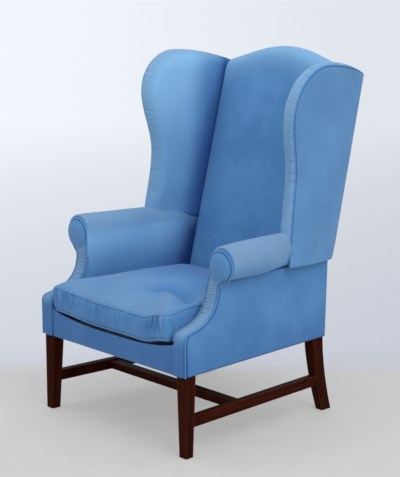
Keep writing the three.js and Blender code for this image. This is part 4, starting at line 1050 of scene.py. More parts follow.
def inside_arm_part(sizes, seed, shift, sag):
    """The inside arm with its roll, how worn it is, its painted shade and its bleaching with painted
    highlight, from the facing to the inside back.
    """
    depths = np.concatenate([
        FACE_PLACE + np.array([0.8, 1.3, 2, 3, 4.2, 5.6, 7.2, 9, 11, 13.5, 16]) * MM,
        np.arange(155, 298, 4) * MM,
        np.arange(298, 422, 4) * MM,
        np.linspace(423 * MM, ARM_REAR, 34),
    ])
    rings, wear_and_shade, bleached_and_lit = [], [], []
    for depth in depths:
        section = arm_section(depth, shift, sag)
        # Behind the wing's foot the sections lean with the inside back, tuck in beside it and close
        lean = (section[:, 1] - DECK_TOP) * INSIDE_SLOPE * ramp(depth, 430 * MM, 530 * MM)
        tuck = 15 * MM * ramp(depth, 478 * MM, 524 * MM) * ramp(depth, 550 * MM, 538 * MM)
        inset = section[:, 0] - tuck * ramp(section[:, 0], 30 * MM, 44 * MM)
        rings.append(np.column_stack([side_half(depth) - inset, depth + lean, section[:, 1]]))
        # worn holds how worn the cloth is together with the painted shade; pale holds the bleaching and
        # painted highlight
        worn, pale = arm_wear_and_shade(section[:, 0], section[:, 1], depth, lean)
        wear_and_shade.append(worn)
        bleached_and_lit.append(pale)
    rings = np.array(rings)
    # Small folds run back from the seam round the scroll
    centre = side_half(rings[..., 1]) + ROLL_OVERHANG + shift
    angle = np.arctan2(rings[..., 2] - ROLL_HEIGHT, rings[..., 0] - centre)
    random = np.random.default_rng(seed)
    count = 40
    places = np.linspace(-1.4, 2.9, count) + random.uniform(-0.03, 0.03, count)
    relief = folds(angle.ravel(), places, random.uniform(0.036, 0.05, count),
                   random.uniform(0.35, 0.9, count) * sizes.gathers * 0.8).reshape(angle.shape)
    fade = nearness(rings[..., 1] - FACE_PLACE - 6 * MM, 7 * MM) * (rings[..., 2] > 505 * MM)
    rings[..., 0] -= relief * fade * np.cos(angle)
    rings[..., 2] -= relief * fade * np.sin(angle)
    # Painted shade in the creases of the folds
    wear_and_shade = np.array(wear_and_shade) - 0.5 * np.clip(relief / sizes.gathers, 0, 1) * fade
    return loft(rings), wear_and_shade.ravel(), np.ravel(bleached_and_lit)


# Arm facings
FACING_COLUMNS = 15
FACING_REAR = ARM_SETBACK + 12 * MM
CORD_PROUD = 0.4 * MM


def facing_surface():
    """Depth and height along the front of the facing, from its foot to the neck of the scroll."""
    corner = 14 * MM
    knee = knee_line(60)
    knee = knee[knee[:, 0] > corner]
    t = np.linspace(0, 1, 12)[:, None]
    start, bend = np.array([0, KNEE_HEIGHT - corner]), np.array([0, KNEE_HEIGHT + 3 * MM])
    arc = (1 - t) ** 2 * start + 2 * t * (1 - t) * bend + t * t * knee[0]
    line = resample(np.vstack([[[0, BASE_BOTTOM]], arc, knee[1:]]), 3 * MM)
    return line - np.array([1, 0]) * 3 * MM * ramp(line[:, 1:2], 420 * MM, 510 * MM)


def facing_outer(z):
    """Inset of the facing's outer edge, which turns outwards under the scroll."""
    return 3 * MM - 40 * MM * ramp(z, 482 * MM, 532 * MM)


def facing_inner(z, shift):
    """Inset of the facing's inner edge, which leans out to the scroll."""
    lean = ramp(z, 455 * MM, SCROLL_HEIGHT)
    return lerp(ARM_WIDTH - 1 * MM, SCROLL_RADIUS - ROLL_OVERHANG - shift, lean)


def facing_ring(depth, z, inner, outer, rear):
    """Section of the facing's stem at a height: across its face and back to its rear."""
    inset = lerp(inner, outer, np.linspace(0, 1, FACING_COLUMNS))
    face = np.column_stack([side_half(depth) - inset, np.full((FACING_COLUMNS, 2), [depth, z])])
    ends = np.array([[side_half(rear) - edge, rear, z] for edge in (inset[-1], inset[0])])
    return np.vstack([face, ends])


def facing_part(shift):
    """The stem of the facing and the flat face of its scroll, as two solids that overlap."""
    line = facing_surface()
    rings = []
    for depth, z in line:
        rear = FACING_REAR if z > DECK_TOP - 18 * MM else COVER - 0.5 * MM
        rings.append(facing_ring(depth, z, float(facing_inner(z, shift)), float(facing_outer(z)), rear))
    for z in np.linspace(line[-1][1] + 2 * MM, SCROLL_HEIGHT, 14):
        outer = max(float(facing_outer(z)), -20 * MM)
        rings.append(facing_ring(FACE_PLACE, z, float(facing_inner(z, shift)), outer, FACING_REAR))
    turns = 2 * np.pi * np.arange(72) / 72
    disc = []
    for depth, share in ((FACE_PLACE, 0.02), (FACE_PLACE, 0.5), (FACE_PLACE, 0.985),
                         (FACE_PLACE + 1 * MM, 1), (FACING_REAR, 1)):
        reach = share * SCROLL_RADIUS
        disc.append(np.column_stack([
            side_half(ARM_SETBACK) + ROLL_OVERHANG + shift + reach * np.cos(turns),
            np.full(72, depth), SCROLL_HEIGHT + reach * np.sin(turns)]))
    return join(loft(rings), loft(disc))


def facing_border(shift):
    """Edge of the facing: up its outer side, round the scroll and down its inner side."""
    line = facing_surface()
    forward = FACE_PLACE + CORD_PROUD
    up = line[line[:, 1] < 506 * MM]
    outer = np.column_stack([side_half(up[:, 0]) - facing_outer(up[:, 1]), up[:, 0] + CORD_PROUD, up[:, 1]])
    middle = side_half(ARM_SETBACK) + ROLL_OVERHANG + shift
    around = np.linspace(math.radians(-56), math.radians(180), 64)
    ring = np.column_stack([middle + SCROLL_RADIUS * np.cos(around), np.full(64, forward),
                            SCROLL_HEIGHT + SCROLL_RADIUS * np.sin(around)])
    down = line[line[:, 1] > 345 * MM][::-1]
    heights = np.linspace(SCROLL_HEIGHT - 4 * MM, down[0][1] + 3 * MM, 12)
    neck = np.column_stack([side_half(ARM_SETBACK) - facing_inner(heights, shift),
                            np.full(12, forward), heights])
    inner = np.column_stack([side_half(down[:, 0]) - facing_inner(down[:, 1], shift),
                             down[:, 0] + CORD_PROUD, down[:, 1]])
    return resample(np.vstack([outer, ring, neck, inner]), 3 * MM)


def stem_folds(share, along, neck, sizes, random):
    """Depth of the folds that run across the stem from its inner edge, below the neck of the scroll."""
    relief = np.zeros(len(along))
    for below in (16, 25, 35, 46, 58, 72, 88, 106):
        place = neck - below * MM + random.uniform(-2, 2) * MM
        tilt = random.uniform(-7, 2) * MM
        start = random.uniform(0.0, 0.3)
        t = (along - place - tilt * share) / (random.uniform(1.8, 2.4) * MM)
        depth = random.uniform(0.35, 0.7) * sizes.gathers
        relief += depth * ramp(share, start, start + 0.4) * crease(t, 0.4, 1.3)
    return relief


def dress_facing(facing, sign, shift, border, sizes, seed):
    """Domes a flat facing between its seams, sinks it beside them and draws folds across its stem."""
    dome_height, seam_sink, scroll_dome, step = 5 * MM, 2.8 * MM, 9 * MM, 1 * MM
    points = coordinates(facing)
    outward = normals(facing)
    flat = points * np.array([sign, 1, 1])
    distance = nearest(flat, resample(border, step))[0]
    forward = np.clip(-1.3 * outward[:, 1] + 0.7 * outward[:, 2], 0, 1) * (flat[:, 1] < FACE_PLACE + 8 * MM)
    dome = dome_height * (1 - np.exp(-(distance / (10 * MM)) ** 1.5))
    dome -= seam_sink * nearness(distance, 3.4 * MM)
    centre = side_half(ARM_SETBACK) + ROLL_OVERHANG + shift
    round_face = np.hypot(flat[:, 0] - centre, flat[:, 2] - SCROLL_HEIGHT) / SCROLL_RADIUS
    dome += scroll_dome * np.clip(1 - round_face ** 2, 0, 1) ** 0.8
    line = resample(facing_surface(), step)
    sideways = flat * np.array([0, 1, 1])
    along = nearest(sideways, np.column_stack([np.zeros(len(line)), line]))[1] * step
    inset = side_half(flat[:, 1]) - flat[:, 0]
    share = np.clip((inset - 3 * MM) / (ARM_WIDTH - 3 * MM), 0, 1)
    neck = (len(line) - 1) * step
    relief = stem_folds(share, along, neck, sizes, np.random.default_rng(seed))
    relief *= ramp(flat[:, 2], 520 * MM, 505 * MM)
    lumps = 0.7 * MM * crumple(points, 38 * MM, seed) + 0.35 * MM * crumple(points, 15 * MM, seed + 5)
    points += outward * (forward * (dome - relief + lumps))[:, None]
    set_coordinates(facing, points)
    # The stem is worn along its middle, the scroll hardly; painted shade darkens the foot, the creases of the
    # folds and the cloth beside the piping
    height = points[:, 2]
    faded = (0.22 + 0.25 * nearness(share - 0.5, 0.35)) * ramp(height, 330 * MM, 390 * MM)
    faded *= 1 - 0.75 * ramp(height, 500 * MM, 525 * MM)
    creases = 0.45 * np.clip(relief / sizes.gathers, 0, 1)
    low = 0.45 * ramp(height, 370 * MM, 335 * MM)
    seam = seam_shade(distance - 2.6 * MM, reach=1.8 * MM, depth=0.9)
    paint_wear_and_shade(facing.data, faded - low - creases + seam)


# Seat cushion
# Corner radii at the front and at the rear, how far the sides are drawn in, and how far its plan reaches
FRONT_CORNER = 17 * MM
REAR_CORNER = 26 * MM
DRAWN_IN = 5 * MM
CUSHION_FRONT = -4 * MM
CUSHION_REACH = 262 * MM
SEAM_STEP = 4 * MM
# Middle line of the hollow that use has left in the top
DENT = np.array([[262, 104], [205, 136], [140, 164], [81, 167], [62, 128]]) * MM
DENT_DEPTH = 23 * MM


def cushion_outline(inset, z, pulled, steps=40):
    """Plan of the cushion: a trapezium with round corners and drawn-in sides."""
    near = CUSHION_FRONT + inset
    far = inside_back(min(max(z, BOXING_BOTTOM), BOXING_TOP)) - 6.5 * MM - inset
    half = [side_half(d) - ARM_WIDTH - 5 * MM - inset for d in (near, far)]
    corners = np.array([[-half[0], near], [half[0], near], [half[1], far], [-half[1], far]])
    radii = [r * r / (r + max(inset, 0)) for r in (FRONT_CORNER, FRONT_CORNER, REAR_CORNER, REAR_CORNER)]
    share = np.linspace(0, 1, steps)
    turn = np.linspace(-np.pi / 2, 0, 9)[1:-1]
    ring = []
    for k in range(4):
        n = (k + 1) % 4
        length = np.linalg.norm(corners[n] - corners[k])
        along = (corners[n] - corners[k]) / length
        inward = np.array([-along[1], along[0]])
        line = corners[k] + along * lerp(radii[k], length - radii[n], share)[:, None]
        ring.append(line + inward * (pulled * np.sin(np.pi * share))[:, None])
        centre = corners[n] - along * radii[n] + inward * radii[n]
        ring.append(centre + radii[n] * (np.cos(turn)[:, None] * along + np.sin(turn)[:, None] * inward))
    ring = np.vstack(ring)
    return np.column_stack([ring, np.full(len(ring), z)])


def cushion_part(crown, shrink):
    """The cushion before use: flat below, with a bowed boxing and a crowned top."""
    bottom, top = BOXING_BOTTOM + shrink * 0.3, BOXING_TOP - shrink * 0.5
    underside = DECK_TOP + 1.5 * MM + shrink * 0.3
    bow = 4 * MM
    rings = [cushion_outline(shrink + share * CUSHION_REACH, underside, DRAWN_IN * (1 - share))
             for share in (0.97, 0.7, 0.4, 0.12, 0.04)]
    rings += [cushion_outline(shrink - bow * math.sin(math.pi * share), lerp(bottom, top, share), DRAWN_IN)
              for share in np.linspace(0, 1, 7)]
    rings += [cushion_outline(shrink + share * CUSHION_REACH, top + crown * (1 - (1 - share) ** 3.4),
                              DRAWN_IN * (1 - share))
              for share in (0.03, 0.08, 0.14, 0.22, 0.32, 0.44, 0.58, 0.74, 0.9, 0.97)]
    return loft(rings)


def inflate(obj, pressure, cap, held):
    """Swells a pad between its held seams with cloth under pressure, each point within a cap of its start."""
    start = coordinates(obj)
    seams = obj.vertex_groups.new(name="seams")
    seams.add([int(i) for i in np.where(held)[0]], 1.0, "REPLACE")
    cloth = obj.modifiers.new("swell", "CLOTH")
    settings = cloth.settings
    settings.quality = 5
    settings.mass = 0.3
    settings.tension_stiffness = 15
    settings.compression_stiffness = 5
    settings.bending_stiffness = 0.3
    settings.use_pressure = True
    settings.uniform_pressure_force = pressure
    settings.effector_weights.gravity = 0
    settings.vertex_group_mass = seams.name
    frames = 20
    cloth.point_cache.frame_start = 1
    cloth.point_cache.frame_end = frames
    scene = bpy.context.scene
    for number in range(1, frames + 1):
        scene.frame_set(number)
    depsgraph = bpy.context.evaluated_depsgraph_get()
    swollen = coordinates(obj.evaluated_get(depsgraph))
    obj.modifiers.clear()
    obj.vertex_groups.clear()
    scene.frame_set(1)
    move = swollen - start
    size = np.linalg.norm(move, axis=1)
    move *= (np.minimum(size, cap) / np.maximum(size, 1e-9))[:, None]
    set_coordinates(obj, start + move)


def dent(x, depth):
    """How deep the hollow left by use is at each place, from 0 to 1."""
    along = 0.55 + 0.45 * ramp(x, 50 * MM, 120 * MM)
    return along * nearness(distance_to(np.column_stack([x, depth]), DENT), 29 * MM)


def cushion_settle(points, sizes):
    """The lasting shape that use has given the cushion: raised front corners, a bowed edge and a dent."""
    x, depth, z = np.array(points, float).T
    near = ramp(depth, 410 * MM, 190 * MM)
    front = ramp(depth, 170 * MM, 20 * MM)
    right = ramp(x, 140 * MM, 270 * MM)
    left = ramp(x, -60 * MM, -275 * MM)
    top = ramp(z, 398 * MM, 420 * MM)
    right_lift, left_lift, bottom_lift = 11 * MM, 13 * MM, 3 * MM
    lift = (sizes.corner_lift + right_lift * ramp(depth, 0, 120 * MM)) * right * near
    lift += left_lift * left * front + bottom_lift * front * ramp(z, 385 * MM, 325 * MM)
    # Fuller lobes in front of the dent and along the left arm, and a lower corner at the left rear
    front_lobe, left_lobe, rear_fall = 5 * MM, 7 * MM, 6 * MM
    lobe = front_lobe * nearness(x - 185 * MM, 62 * MM) * nearness(depth - 62 * MM, 48 * MM)
    lobe += left_lobe * ramp(x, 0, -160 * MM) * nearness(depth - 240 * MM, 110 * MM)
    lobe -= rear_fall * ramp(x, -80 * MM, -200 * MM) * ramp(depth, 370 * MM, 480 * MM)
    lift += (lobe - DENT_DEPTH * dent(x, depth)) * top
    # The right side is drawn in at the front, most at its upper seam, and the left corner is spread
    drawn = (10 * MM * near + 15 * MM * front) * right * lerp(0.5, 1, ramp(z, 320 * MM, 390 * MM))
    drawn *= 1 - 0.5 * ramp(z, 402 * MM, 442 * MM)
    spread = 7 * MM * ramp(x, -200 * MM, -270 * MM) * front * ramp(z, 350 * MM, 390 * MM)
    return np.column_stack([x - drawn - spread, depth, z + lift])


def cushion_seams(tree):
    """Paths of the lower and the upper seam on the cushion's skin, found by rays from outside."""
    outside = 30 * MM
    middle = 270 * MM
    paths = []
    for height in (BOXING_BOTTOM + 3 * MM, BOXING_TOP):
        path = []
        for x, depth, z in cushion_outline(-outside, height, DRAWN_IN):
            start = Vector((x, depth + FRONT, z))
            aim = Vector((x * 0.75, lerp(depth, middle, 0.25) + FRONT, z)) - start
            hit = tree.ray_cast(start, aim.normalized())[0]
            if hit is not None:
                path.append([hit.x, hit.y - FRONT, hit.z])
        path = resample(np.array(path), SEAM_STEP, closed=True)
        for _ in range(14):
            path = (np.roll(path, 1, 0) + path * 2 + np.roll(path, -1, 0)) / 4
        path[:, 2] = height
        paths.append(path)
    return paths


def noise_row(places):
    """Soft noise from -1 to 1 at each of a row of places."""
    return np.array([noise.noise(Vector(place)) for place in places])


def cushion_relief(points, paths, sizes):
    """How far the skin moves out at each point, with dips, puckers and folds, and how deep it is folded."""
    relief = np.zeros(len(points))
    folded = np.zeros(len(points))
    # The seams lie in a dip with puckers on both sides, fewer at the lower seam
    dip, reach = 2.2 * MM, 60 * MM
    for path, share in zip(paths, (0.7, 1.0)):
        nearby = np.where(np.abs(points[:, 2] - path[0][2]) < reach)[0]
        gap, number = nearest(points[nearby], path)
        length = number * SEAM_STEP
        fine = noise_row((v / (9 * MM), share * 9.1, 0) for v in length)
        broad = noise_row((v / (30 * MM), share * 3.3, 5) for v in length)
        pucker = np.abs(fine) * (0.5 + np.maximum(broad, 0) * 1.6)
        relief[nearby] -= dip * nearness(gap, 5 * MM)
        relief[nearby] -= sizes.puckers * share * pucker * np.exp(-(gap / (20 * MM)) ** 1.5)
    # Upright folds down the front boxing from the upper seam, deepest towards its ends
    x, depth, z = points.T
    rows = np.where((depth < 30 * MM) & (z > BOXING_BOTTOM) & (z < BOXING_TOP))[0]
    x, z = x[rows], z[rows]
    below = BOXING_TOP - z
    wave = noise_row((v / (19 * MM), 2.2, w / (120 * MM)) for v, w in zip(x, z))
    broad = noise_row((v / (70 * MM), 7.7, 1.0) for v in x)
    strength = np.clip(0.8 + 1.3 * broad + 0.4 * (np.abs(x) > 170 * MM), 0.15, 1.6)
    upright = nearness(below - 16 * MM, 38 * MM)
    folded[rows] = strength * np.maximum(0.55 - 1.9 * np.abs(wave), -0.35) * upright
    relief -= 2.2 * sizes.puckers * folded
    # Lumps of filling, broad and small
    relief += 1.8 * MM * crumple(points, 80 * MM, 1) + 0.6 * MM * crumple(points, 26 * MM, 2)
    return relief, folded


def keep_clear(points):
    """Keeps the cushion clear of the arms, the inside back, the border and the deck."""
    arm = side_half(points[:, 1]) - ARM_WIDTH - 2.5 * MM
    points[:, 0] = np.clip(points[:, 0], -arm, arm)
    points[:, 1] = np.clip(points[:, 1], -8 * MM, inside_back(points[:, 2]) - 3 * MM)
    points[:, 2] = np.maximum(points[:, 2], DECK_TOP + 0.6 * MM)
    return points


def cushion_wear_and_shade(points, folded):
    """How worn the cover is: grey in front and rubbed along the upper seam; painted shade in the dent,
    towards the rear and in the creases of the boxing's folds, which are lighter on their ridges.
    """
    top = ramp(points[:, 2], 392 * MM, 412 * MM)
    # Grey from use in front, turning to painted shade towards the rear
    used = lerp(0.3, -0.25, ramp(points[:, 1], 130 * MM, 390 * MM))
    wear_and_shade = used * top - 0.1 + 0.25 * nearness(points[:, 2] - BOXING_TOP, 14 * MM)
    wear_and_shade -= 0.35 * dent(points[:, 0], points[:, 1]) * top
    return wear_and_shade - 0.5 * np.maximum(folded, 0) - 0.3 * np.minimum(folded, 0)


def make_cushion(sizes):
    """Sews, fills and settles the cushion, and lays its two welts along its seams."""
    bag_drop = 18 * MM
    cover = new_object("cushion_cover_sewn", cushion_part(sizes.cushion_crown, shrink=1.5 * MM))
    stuff(cover, voxel=5.5 * MM, rounds=3)
    height = coordinates(cover)[:, 2]
    held = np.minimum(np.abs(height - BOXING_BOTTOM - 2 * MM), np.abs(height - BOXING_TOP)) < 5 * MM
    inflate(cover, pressure=4.0, cap=12 * MM, held=held)
    refine(cover)
    set_coordinates(cover, keep_clear(coordinates(cover)))
    paths = cushion_seams(BVHTree.FromObject(cover, bpy.context.evaluated_depsgraph_get()))
    points = coordinates(cover)
    relief, folded = cushion_relief(points, paths, sizes)
    points += normals(cover) * relief[:, None]
    set_coordinates(cover, cushion_settle(points, sizes))
    paint_wear_and_shade(cover.data, cushion_wear_and_shade(points, folded))
    finish_piece(cover, "cushion", "seat_cloth", ["cushion_cover"])
    for name, path in zip(("bottom", "top"), paths):
        away = path - path.mean(axis=0)
        away[:, 2] = 0
        away /= np.linalg.norm(away, axis=1)[:, None]
        settled = cushion_settle(path + away * 0.2 * MM, sizes)
        cord = tube(settled, sizes.piping / 2, closed=True)
        cord = new_object(f"cushion_piping_{name}", cord, wear_and_shade=0.15)
        finish_piece(cord, "cushion", "seat_cloth", [f"cushion_welt_{name}"])
    inner = cushion_part(sizes.cushion_crown - bag_drop, shrink=20 * MM)
    inner = new_object("cushion_filling_bag", inner)
    stuff(inner, voxel=12 * MM, rounds=2)
    set_coordinates(inner, cushion_settle(coordinates(inner), sizes))
    finish_piece(inner, "cushion", "filling", ["cushion_filling"])


# Studio
# The camera, as fitted to the photo: its place, its way back, and its lens from a focal length in pixels
CAMERA_PLACE = (3.3423, -3.1044, 1.5003)
CAMERA_BACKWARD = Vector((0.72003, -0.66316, 0.20438))
FOCAL_PIXELS = 1478.8
PICTURE_PIXELS = 477
SENSOR = 36.0
AZIMUTH = math.radians(47.4)
AWAY = Vector((-math.sin(AZIMUTH), math.cos(AZIMUTH), 0))
ASIDE = Vector((math.cos(AZIMUTH), math.sin(AZIMUTH), 0))
# The paper: how far it runs back, the radius of its turn, how tall and how wide to each side it is
PAPER_REACH = 9.0
PAPER_TURN = 2.2
PAPER_TALL = 5.0
PAPER_HALF = 14.0
FLOOR_GAP = 0.5 * MM
# Name, place, size, power and colour
LAMPS = (
    ("key_softbox", (3.3, -0.7, 2.9), 2.0, 46, "ffffff"),
    ("fill_softbox", (-2.6, -3.4, 2.4), 3.0, 4, "f2f5ff"),
    ("top_softbox", (-0.3, -0.7, 3.9), 2.8, 20, "ffffff"),
)
LAMP_AIM = Vector((0, 0, 0.55))
WORLD_STRENGTH = 0.92


def studio_paper():
    """Matt painted floor that turns into pale paper some way behind the chair."""
    colours = bpy.context.scene.armchair_colours
    paper, tree, shader, place = new_material("Painted_studio_floor", {"Roughness": 0.8, "IOR": 1.45})
    away, aside = [add_node(tree, "VectorMath", {"operation": "DOT_PRODUCT", 1: tuple(way)},
                            {0: place}).outputs["Value"] for way in (AWAY, ASIDE)]
    # Trowelled floor paint: broad cloudy patches about 110 mm wide.
    cloudy = add_node(tree, "TexNoise", {"Scale": 1 / (110 * MM), "Detail": 6.0, "Roughness": 0.6},
                      {"Vector": place})
    tone = tuple(colours.floor)
    paler = tuple(min(1.0, v * 1.1) for v in tone[:3]) + (1.0,)
    ground = add_node(tree, "Mix", {"data_type": "RGBA", 6: tone, 7: paler}, {0: cloudy})
    # Painted light and shade: the paper pales from right to left and from the floor up.
    across = add_node(tree, "MapRange", {"From Min": -1.3, "From Max": 1.3, "To Max": 0.35},
                      {"Value": aside})
    depth = add_node(tree, "MapRange",
                     {"From Min": 0.4, "From Max": 7.0, "To Min": 0.62, "To Max": 0}, {"Value": away})
    fall = add_node(tree, "Math", {"operation": "ADD"}, {0: across, 1: depth})
    wall = add_node(tree, "Mix", {"data_type": "RGBA", 6: linear("f1f6fc"), 7: linear("c1c5d0")}, {0: fall})
    edge = add_node(tree, "MapRange", {"From Min": 0.34, "From Max": 0.5}, {"Value": away})
    colour = add_node(tree, "Mix", {"data_type": "RGBA"},
                      {0: edge, 6: ground.outputs[2], 7: wall.outputs[2]})
    tree.links.new(colour.outputs[2], shader.inputs["Base Color"])
    # Near the chair half of the light that the camera sees is the floor's own, which keeps its shadow soft.
    path = add_node(tree, "LightPath")
    seen = add_node(tree, "Math", {"operation": "ADD"},
                    {0: path.outputs["Is Camera Ray"], 1: path.outputs["Is Glossy Ray"]})
    seen = add_node(tree, "Math", {"operation": "ADD", "use_clamp": True},
                    {0: seen, 1: path.outputs["Is Transmission Ray"]})
    far = add_node(tree, "MapRange", {"From Min": 0.38, "From Max": 0.75, "To Min": 0.5}, {"Value": away})
    share = add_node(tree, "Math", {"operation": "MULTIPLY"}, {0: seen, 1: far})
    glow = add_node(tree, "Emission", None, {"Color": colour.outputs[2]})
    mix = add_node(tree, "MixShader", None, {0: share, 1: shader.outputs[0], 2: glow.outputs[0]})
    tree.links.new(mix.outputs[0], tree.nodes["Material Output"].inputs["Surface"])
    return paper


def paper_sheet():
    """The floor and the backdrop as one sheet of paper, turned up behind the chair."""
    profile = [(-PAPER_REACH, 0.0), (PAPER_REACH - PAPER_TURN, 0.0)]
    profile += [(PAPER_REACH - PAPER_TURN + PAPER_TURN * math.sin(a), PAPER_TURN - PAPER_TURN * math.cos(a))
                for a in np.linspace(0, math.pi / 2, 16)[1:]]
    profile.append((PAPER_REACH, PAPER_TALL))
    points = [tuple(AWAY * along + ASIDE * width + Vector((0, 0, up - FLOOR_GAP)))
              for along, up in profile for width in (-PAPER_HALF, PAPER_HALF)]
    faces = [(k, k + 1, k + 3, k + 2) for k in range(0, len(points) - 2, 2)]
    mesh = bpy.data.meshes.new("studio_floor")
    mesh.from_pydata(points, [], faces)
    mesh.shade_smooth()
    return mesh


def stand(name, data, place, aim):
    """Stands a lamp or a camera in the studio and turns it towards an aim."""
    holder = bpy.data.objects.new(name, data)
    holder.location = place
    holder.rotation_euler = aim.to_track_quat("-Z", "Y").to_euler()
    bpy.context.scene.collection.objects.link(holder)
    return holder


class ARMCHAIR_OT_studio(bpy.types.Operator):
    """Adds the floor, the backdrop, the soft lamps and the camera"""
    bl_idname = "armchair.studio"
    bl_label = "Studio"

    def execute(self, context):
        floor = bpy.data.objects.new("studio_floor", paper_sheet())
        context.scene.collection.objects.link(floor)
        floor.data.materials.append(studio_paper())
        world = bpy.data.worlds.new("Studio_light")
        context.scene.world = world
        world.use_nodes = True
        light = world.node_tree.nodes["Background"]
        light.inputs["Color"].default_value = linear("f2f4f8")
        light.inputs["Strength"].default_value = WORLD_STRENGTH
        for name, place, size, power, code in LAMPS:
            lamp = bpy.data.lights.new(name, "AREA")
            lamp.shape = "SQUARE"
            lamp.size = size
            lamp.energy = power
            lamp.color = linear(code)[:3]
            stand(name, lamp, place, LAMP_AIM - Vector(place))
        camera = bpy.data.cameras.new("camera")
        camera.sensor_width = SENSOR
        camera.lens = SENSOR * FOCAL_PIXELS / PICTURE_PIXELS
        context.scene.camera = stand("camera", camera, CAMERA_PLACE, -CAMERA_BACKWARD)
        context.scene.view_settings.view_transform = "Standard"
        return {"FINISHED"}


# Pieces, each added by its operator
def dress_wood(name, finish, edge):
    """Eases the edges of a piece of show wood and gives it its finish."""
    obj = frame["nodes"][name]
    bevel = obj.modifiers.new("eased_edges", "BEVEL")
    bevel.width = edge
    bevel.segments = 3
    bevel.limit_method = "ANGLE"
    bevel.angle_limit = math.radians(28)
    set_finish(obj, finish)


class ARMCHAIR_OT_legs(bpy.types.Operator):
    """Finishes the legs and stretchers as stained mahogany with eased edges"""
    bl_idname = "armchair.legs"
    bl_label = "Legs and stretchers"

    def execute(self, context):
        edge = context.scene.armchair_sizes.wood_edge
        for side in ("left", "right"):
            dress_wood(f"front_leg_{side}", "mahogany_upright", edge)
            dress_wood(f"rear_leg_{side}", "mahogany_upright", edge)
            dress_wood(f"side_stretcher_{side}", "mahogany_lengthwise", edge)
        dress_wood("cross_stretcher", "mahogany_crosswise", edge)
        return {"FINISHED"}


class ARMCHAIR_OT_frame(bpy.types.Operator):
    """Finishes the hidden frame, the springs and the webbing"""
    bl_idname = "armchair.frame"
    bl_label = "Hidden frame"

    def execute(self, context):
        for row in frame["record"]["subparts"]:
            slot = row["material_slot"]
            if slot in ("beech", "jute", "spring_steel"):
                set_finish(frame["nodes"][row["node"]], slot)
            if slot == "spring_steel":
                frame["nodes"][row["node"]].data.shade_smooth()
        return {"FINISHED"}


def laid_cloth(depths, inset, columns, height):
    """Points of a cloth laid between the sides of the base, at the heights that a function gives."""
    rows = []
    for depth in depths:
        half = side_half(depth) - inset
        rows.append([[x, depth, height(x, depth, half)] for x in np.linspace(-half, half, columns)])
    return np.array(rows)


def deck_part():
    """Deck cloth: gently uneven, with a rounded edge, on a flat underside."""
    near, far = 21 * MM, inside_back(DECK_TOP) - 2 * MM
    lump_size, lump, rise = 90 * MM, 1.2 * MM, 0.4 * MM
    edge_drop, edge_reach = 3.5 * MM, 9 * MM
    thickness = 10.8 * MM

    def height(x, depth, half):
        edge = min(half - abs(x), depth - near, far - depth)
        uneven = lump * noise.noise(Vector((x / lump_size, depth / lump_size, 3.0)))
        return DECK_TOP - lump - edge_drop * float(nose(np.array(edge), edge_reach)) + min(uneven, rise)

    upper = laid_cloth(np.linspace(near, far, 60), ARM_WIDTH + 1 * MM, 70, height)
    lower = upper.copy()
    lower[..., 2] = DECK_TOP - thickness
    return slab(upper, lower)


def dust_cover_part():
    """Black cambric tacked under the seat rails, with faint folds between its tacks."""
    near, far = 7.5 * MM, 622 * MM
    fold_size, fold, thickness, clearance = 50 * MM, 0.35 * MM, 0.7 * MM, 0.5 * MM

    def height(x, depth, _):
        folded = fold * noise.noise(Vector((x / fold_size, depth / fold_size, 9.0)))
        return BASE_BOTTOM + clearance + min(max(folded, -0.4 * MM), 0.3 * MM)

    lower = laid_cloth(np.linspace(near, far, 50), COVER + clearance, 56, height)
    return slab(lower + np.array([0, 0, thickness]), lower)


class ARMCHAIR_OT_deck(bpy.types.Operator):
    """Adds the deck cloth under the cushion and the dust cover under the seat"""
    bl_idname = "armchair.deck"
    bl_label = "Deck and dust cover"

    def execute(self, context):
        deck = new_object("seat_deck_cloth", deck_part())
        finish_piece(deck, "chair", "deck_cloth", ["seat_deck"])
        cover = new_object("dust_cover_cloth", dust_cover_part())
        finish_piece(cover, "chair", "cambric", ["dust_cover"])
        return {"FINISHED"}


def border_top(x):
    """Upper edge of the front border: low in the middle, turned up beside the posts."""
    middle, rise, half = 310 * MM, 25 * MM, 286 * MM
    return middle + rise * (np.abs(x) / half) ** 3.2


def front_border_part():
    """Border drawn over the front rail, with a lip behind that the deck cloth meets."""
    half = side_half(0) - ARM_WIDTH - 0.6 * MM
    end_turn, end_depth, lip, swell = 6 * MM, 3 * MM, 4 * MM, 1.2 * MM
    rings = []
    for x in np.linspace(-half, half, 140):
        edge = max(abs(x) - (half - end_turn), 0) / end_turn
        rounded = end_depth * (1 - math.sqrt(max(1 - edge * edge, 0)))
        top = float(border_top(x))
        heights = np.linspace(BASE_BOTTOM, top - lip, 18)
        swollen = swell * np.sin(np.pi * (heights - BASE_BOTTOM) / (top - BASE_BOTTOM))
        front = np.column_stack([rounded - swollen, heights])
        turns = np.linspace(0, np.pi / 2, 6)[1:]
        over = np.column_stack([rounded + end_depth * (1 - np.cos(turns)), top - lip + lip * np.sin(turns)])
        back = np.array([[4.4, 0], [5, 305.5], [20, 305], [20, 291], [6.6, 290.6], [6.6, 0]]) * MM
        back[0, 1], back[-1, 1] = top - 1 * MM, BASE_BOTTOM
        ring = np.vstack([front, over, back])
        rings.append(np.column_stack([np.full(len(ring), x), ring]))
    return loft(rings)


class ARMCHAIR_OT_front_border(bpy.types.Operator):
    """Adds the border that wraps the front rail under the cushion"""
    bl_idname = "armchair.front_border"
    bl_label = "Front border"

    def execute(self, context):
        # Painted shade: the border is darkened all over
        border = new_object("front_border_cloth", front_border_part(), wear_and_shade=-0.45)
        upholster(border, "front_border")
        return {"FINISHED"}


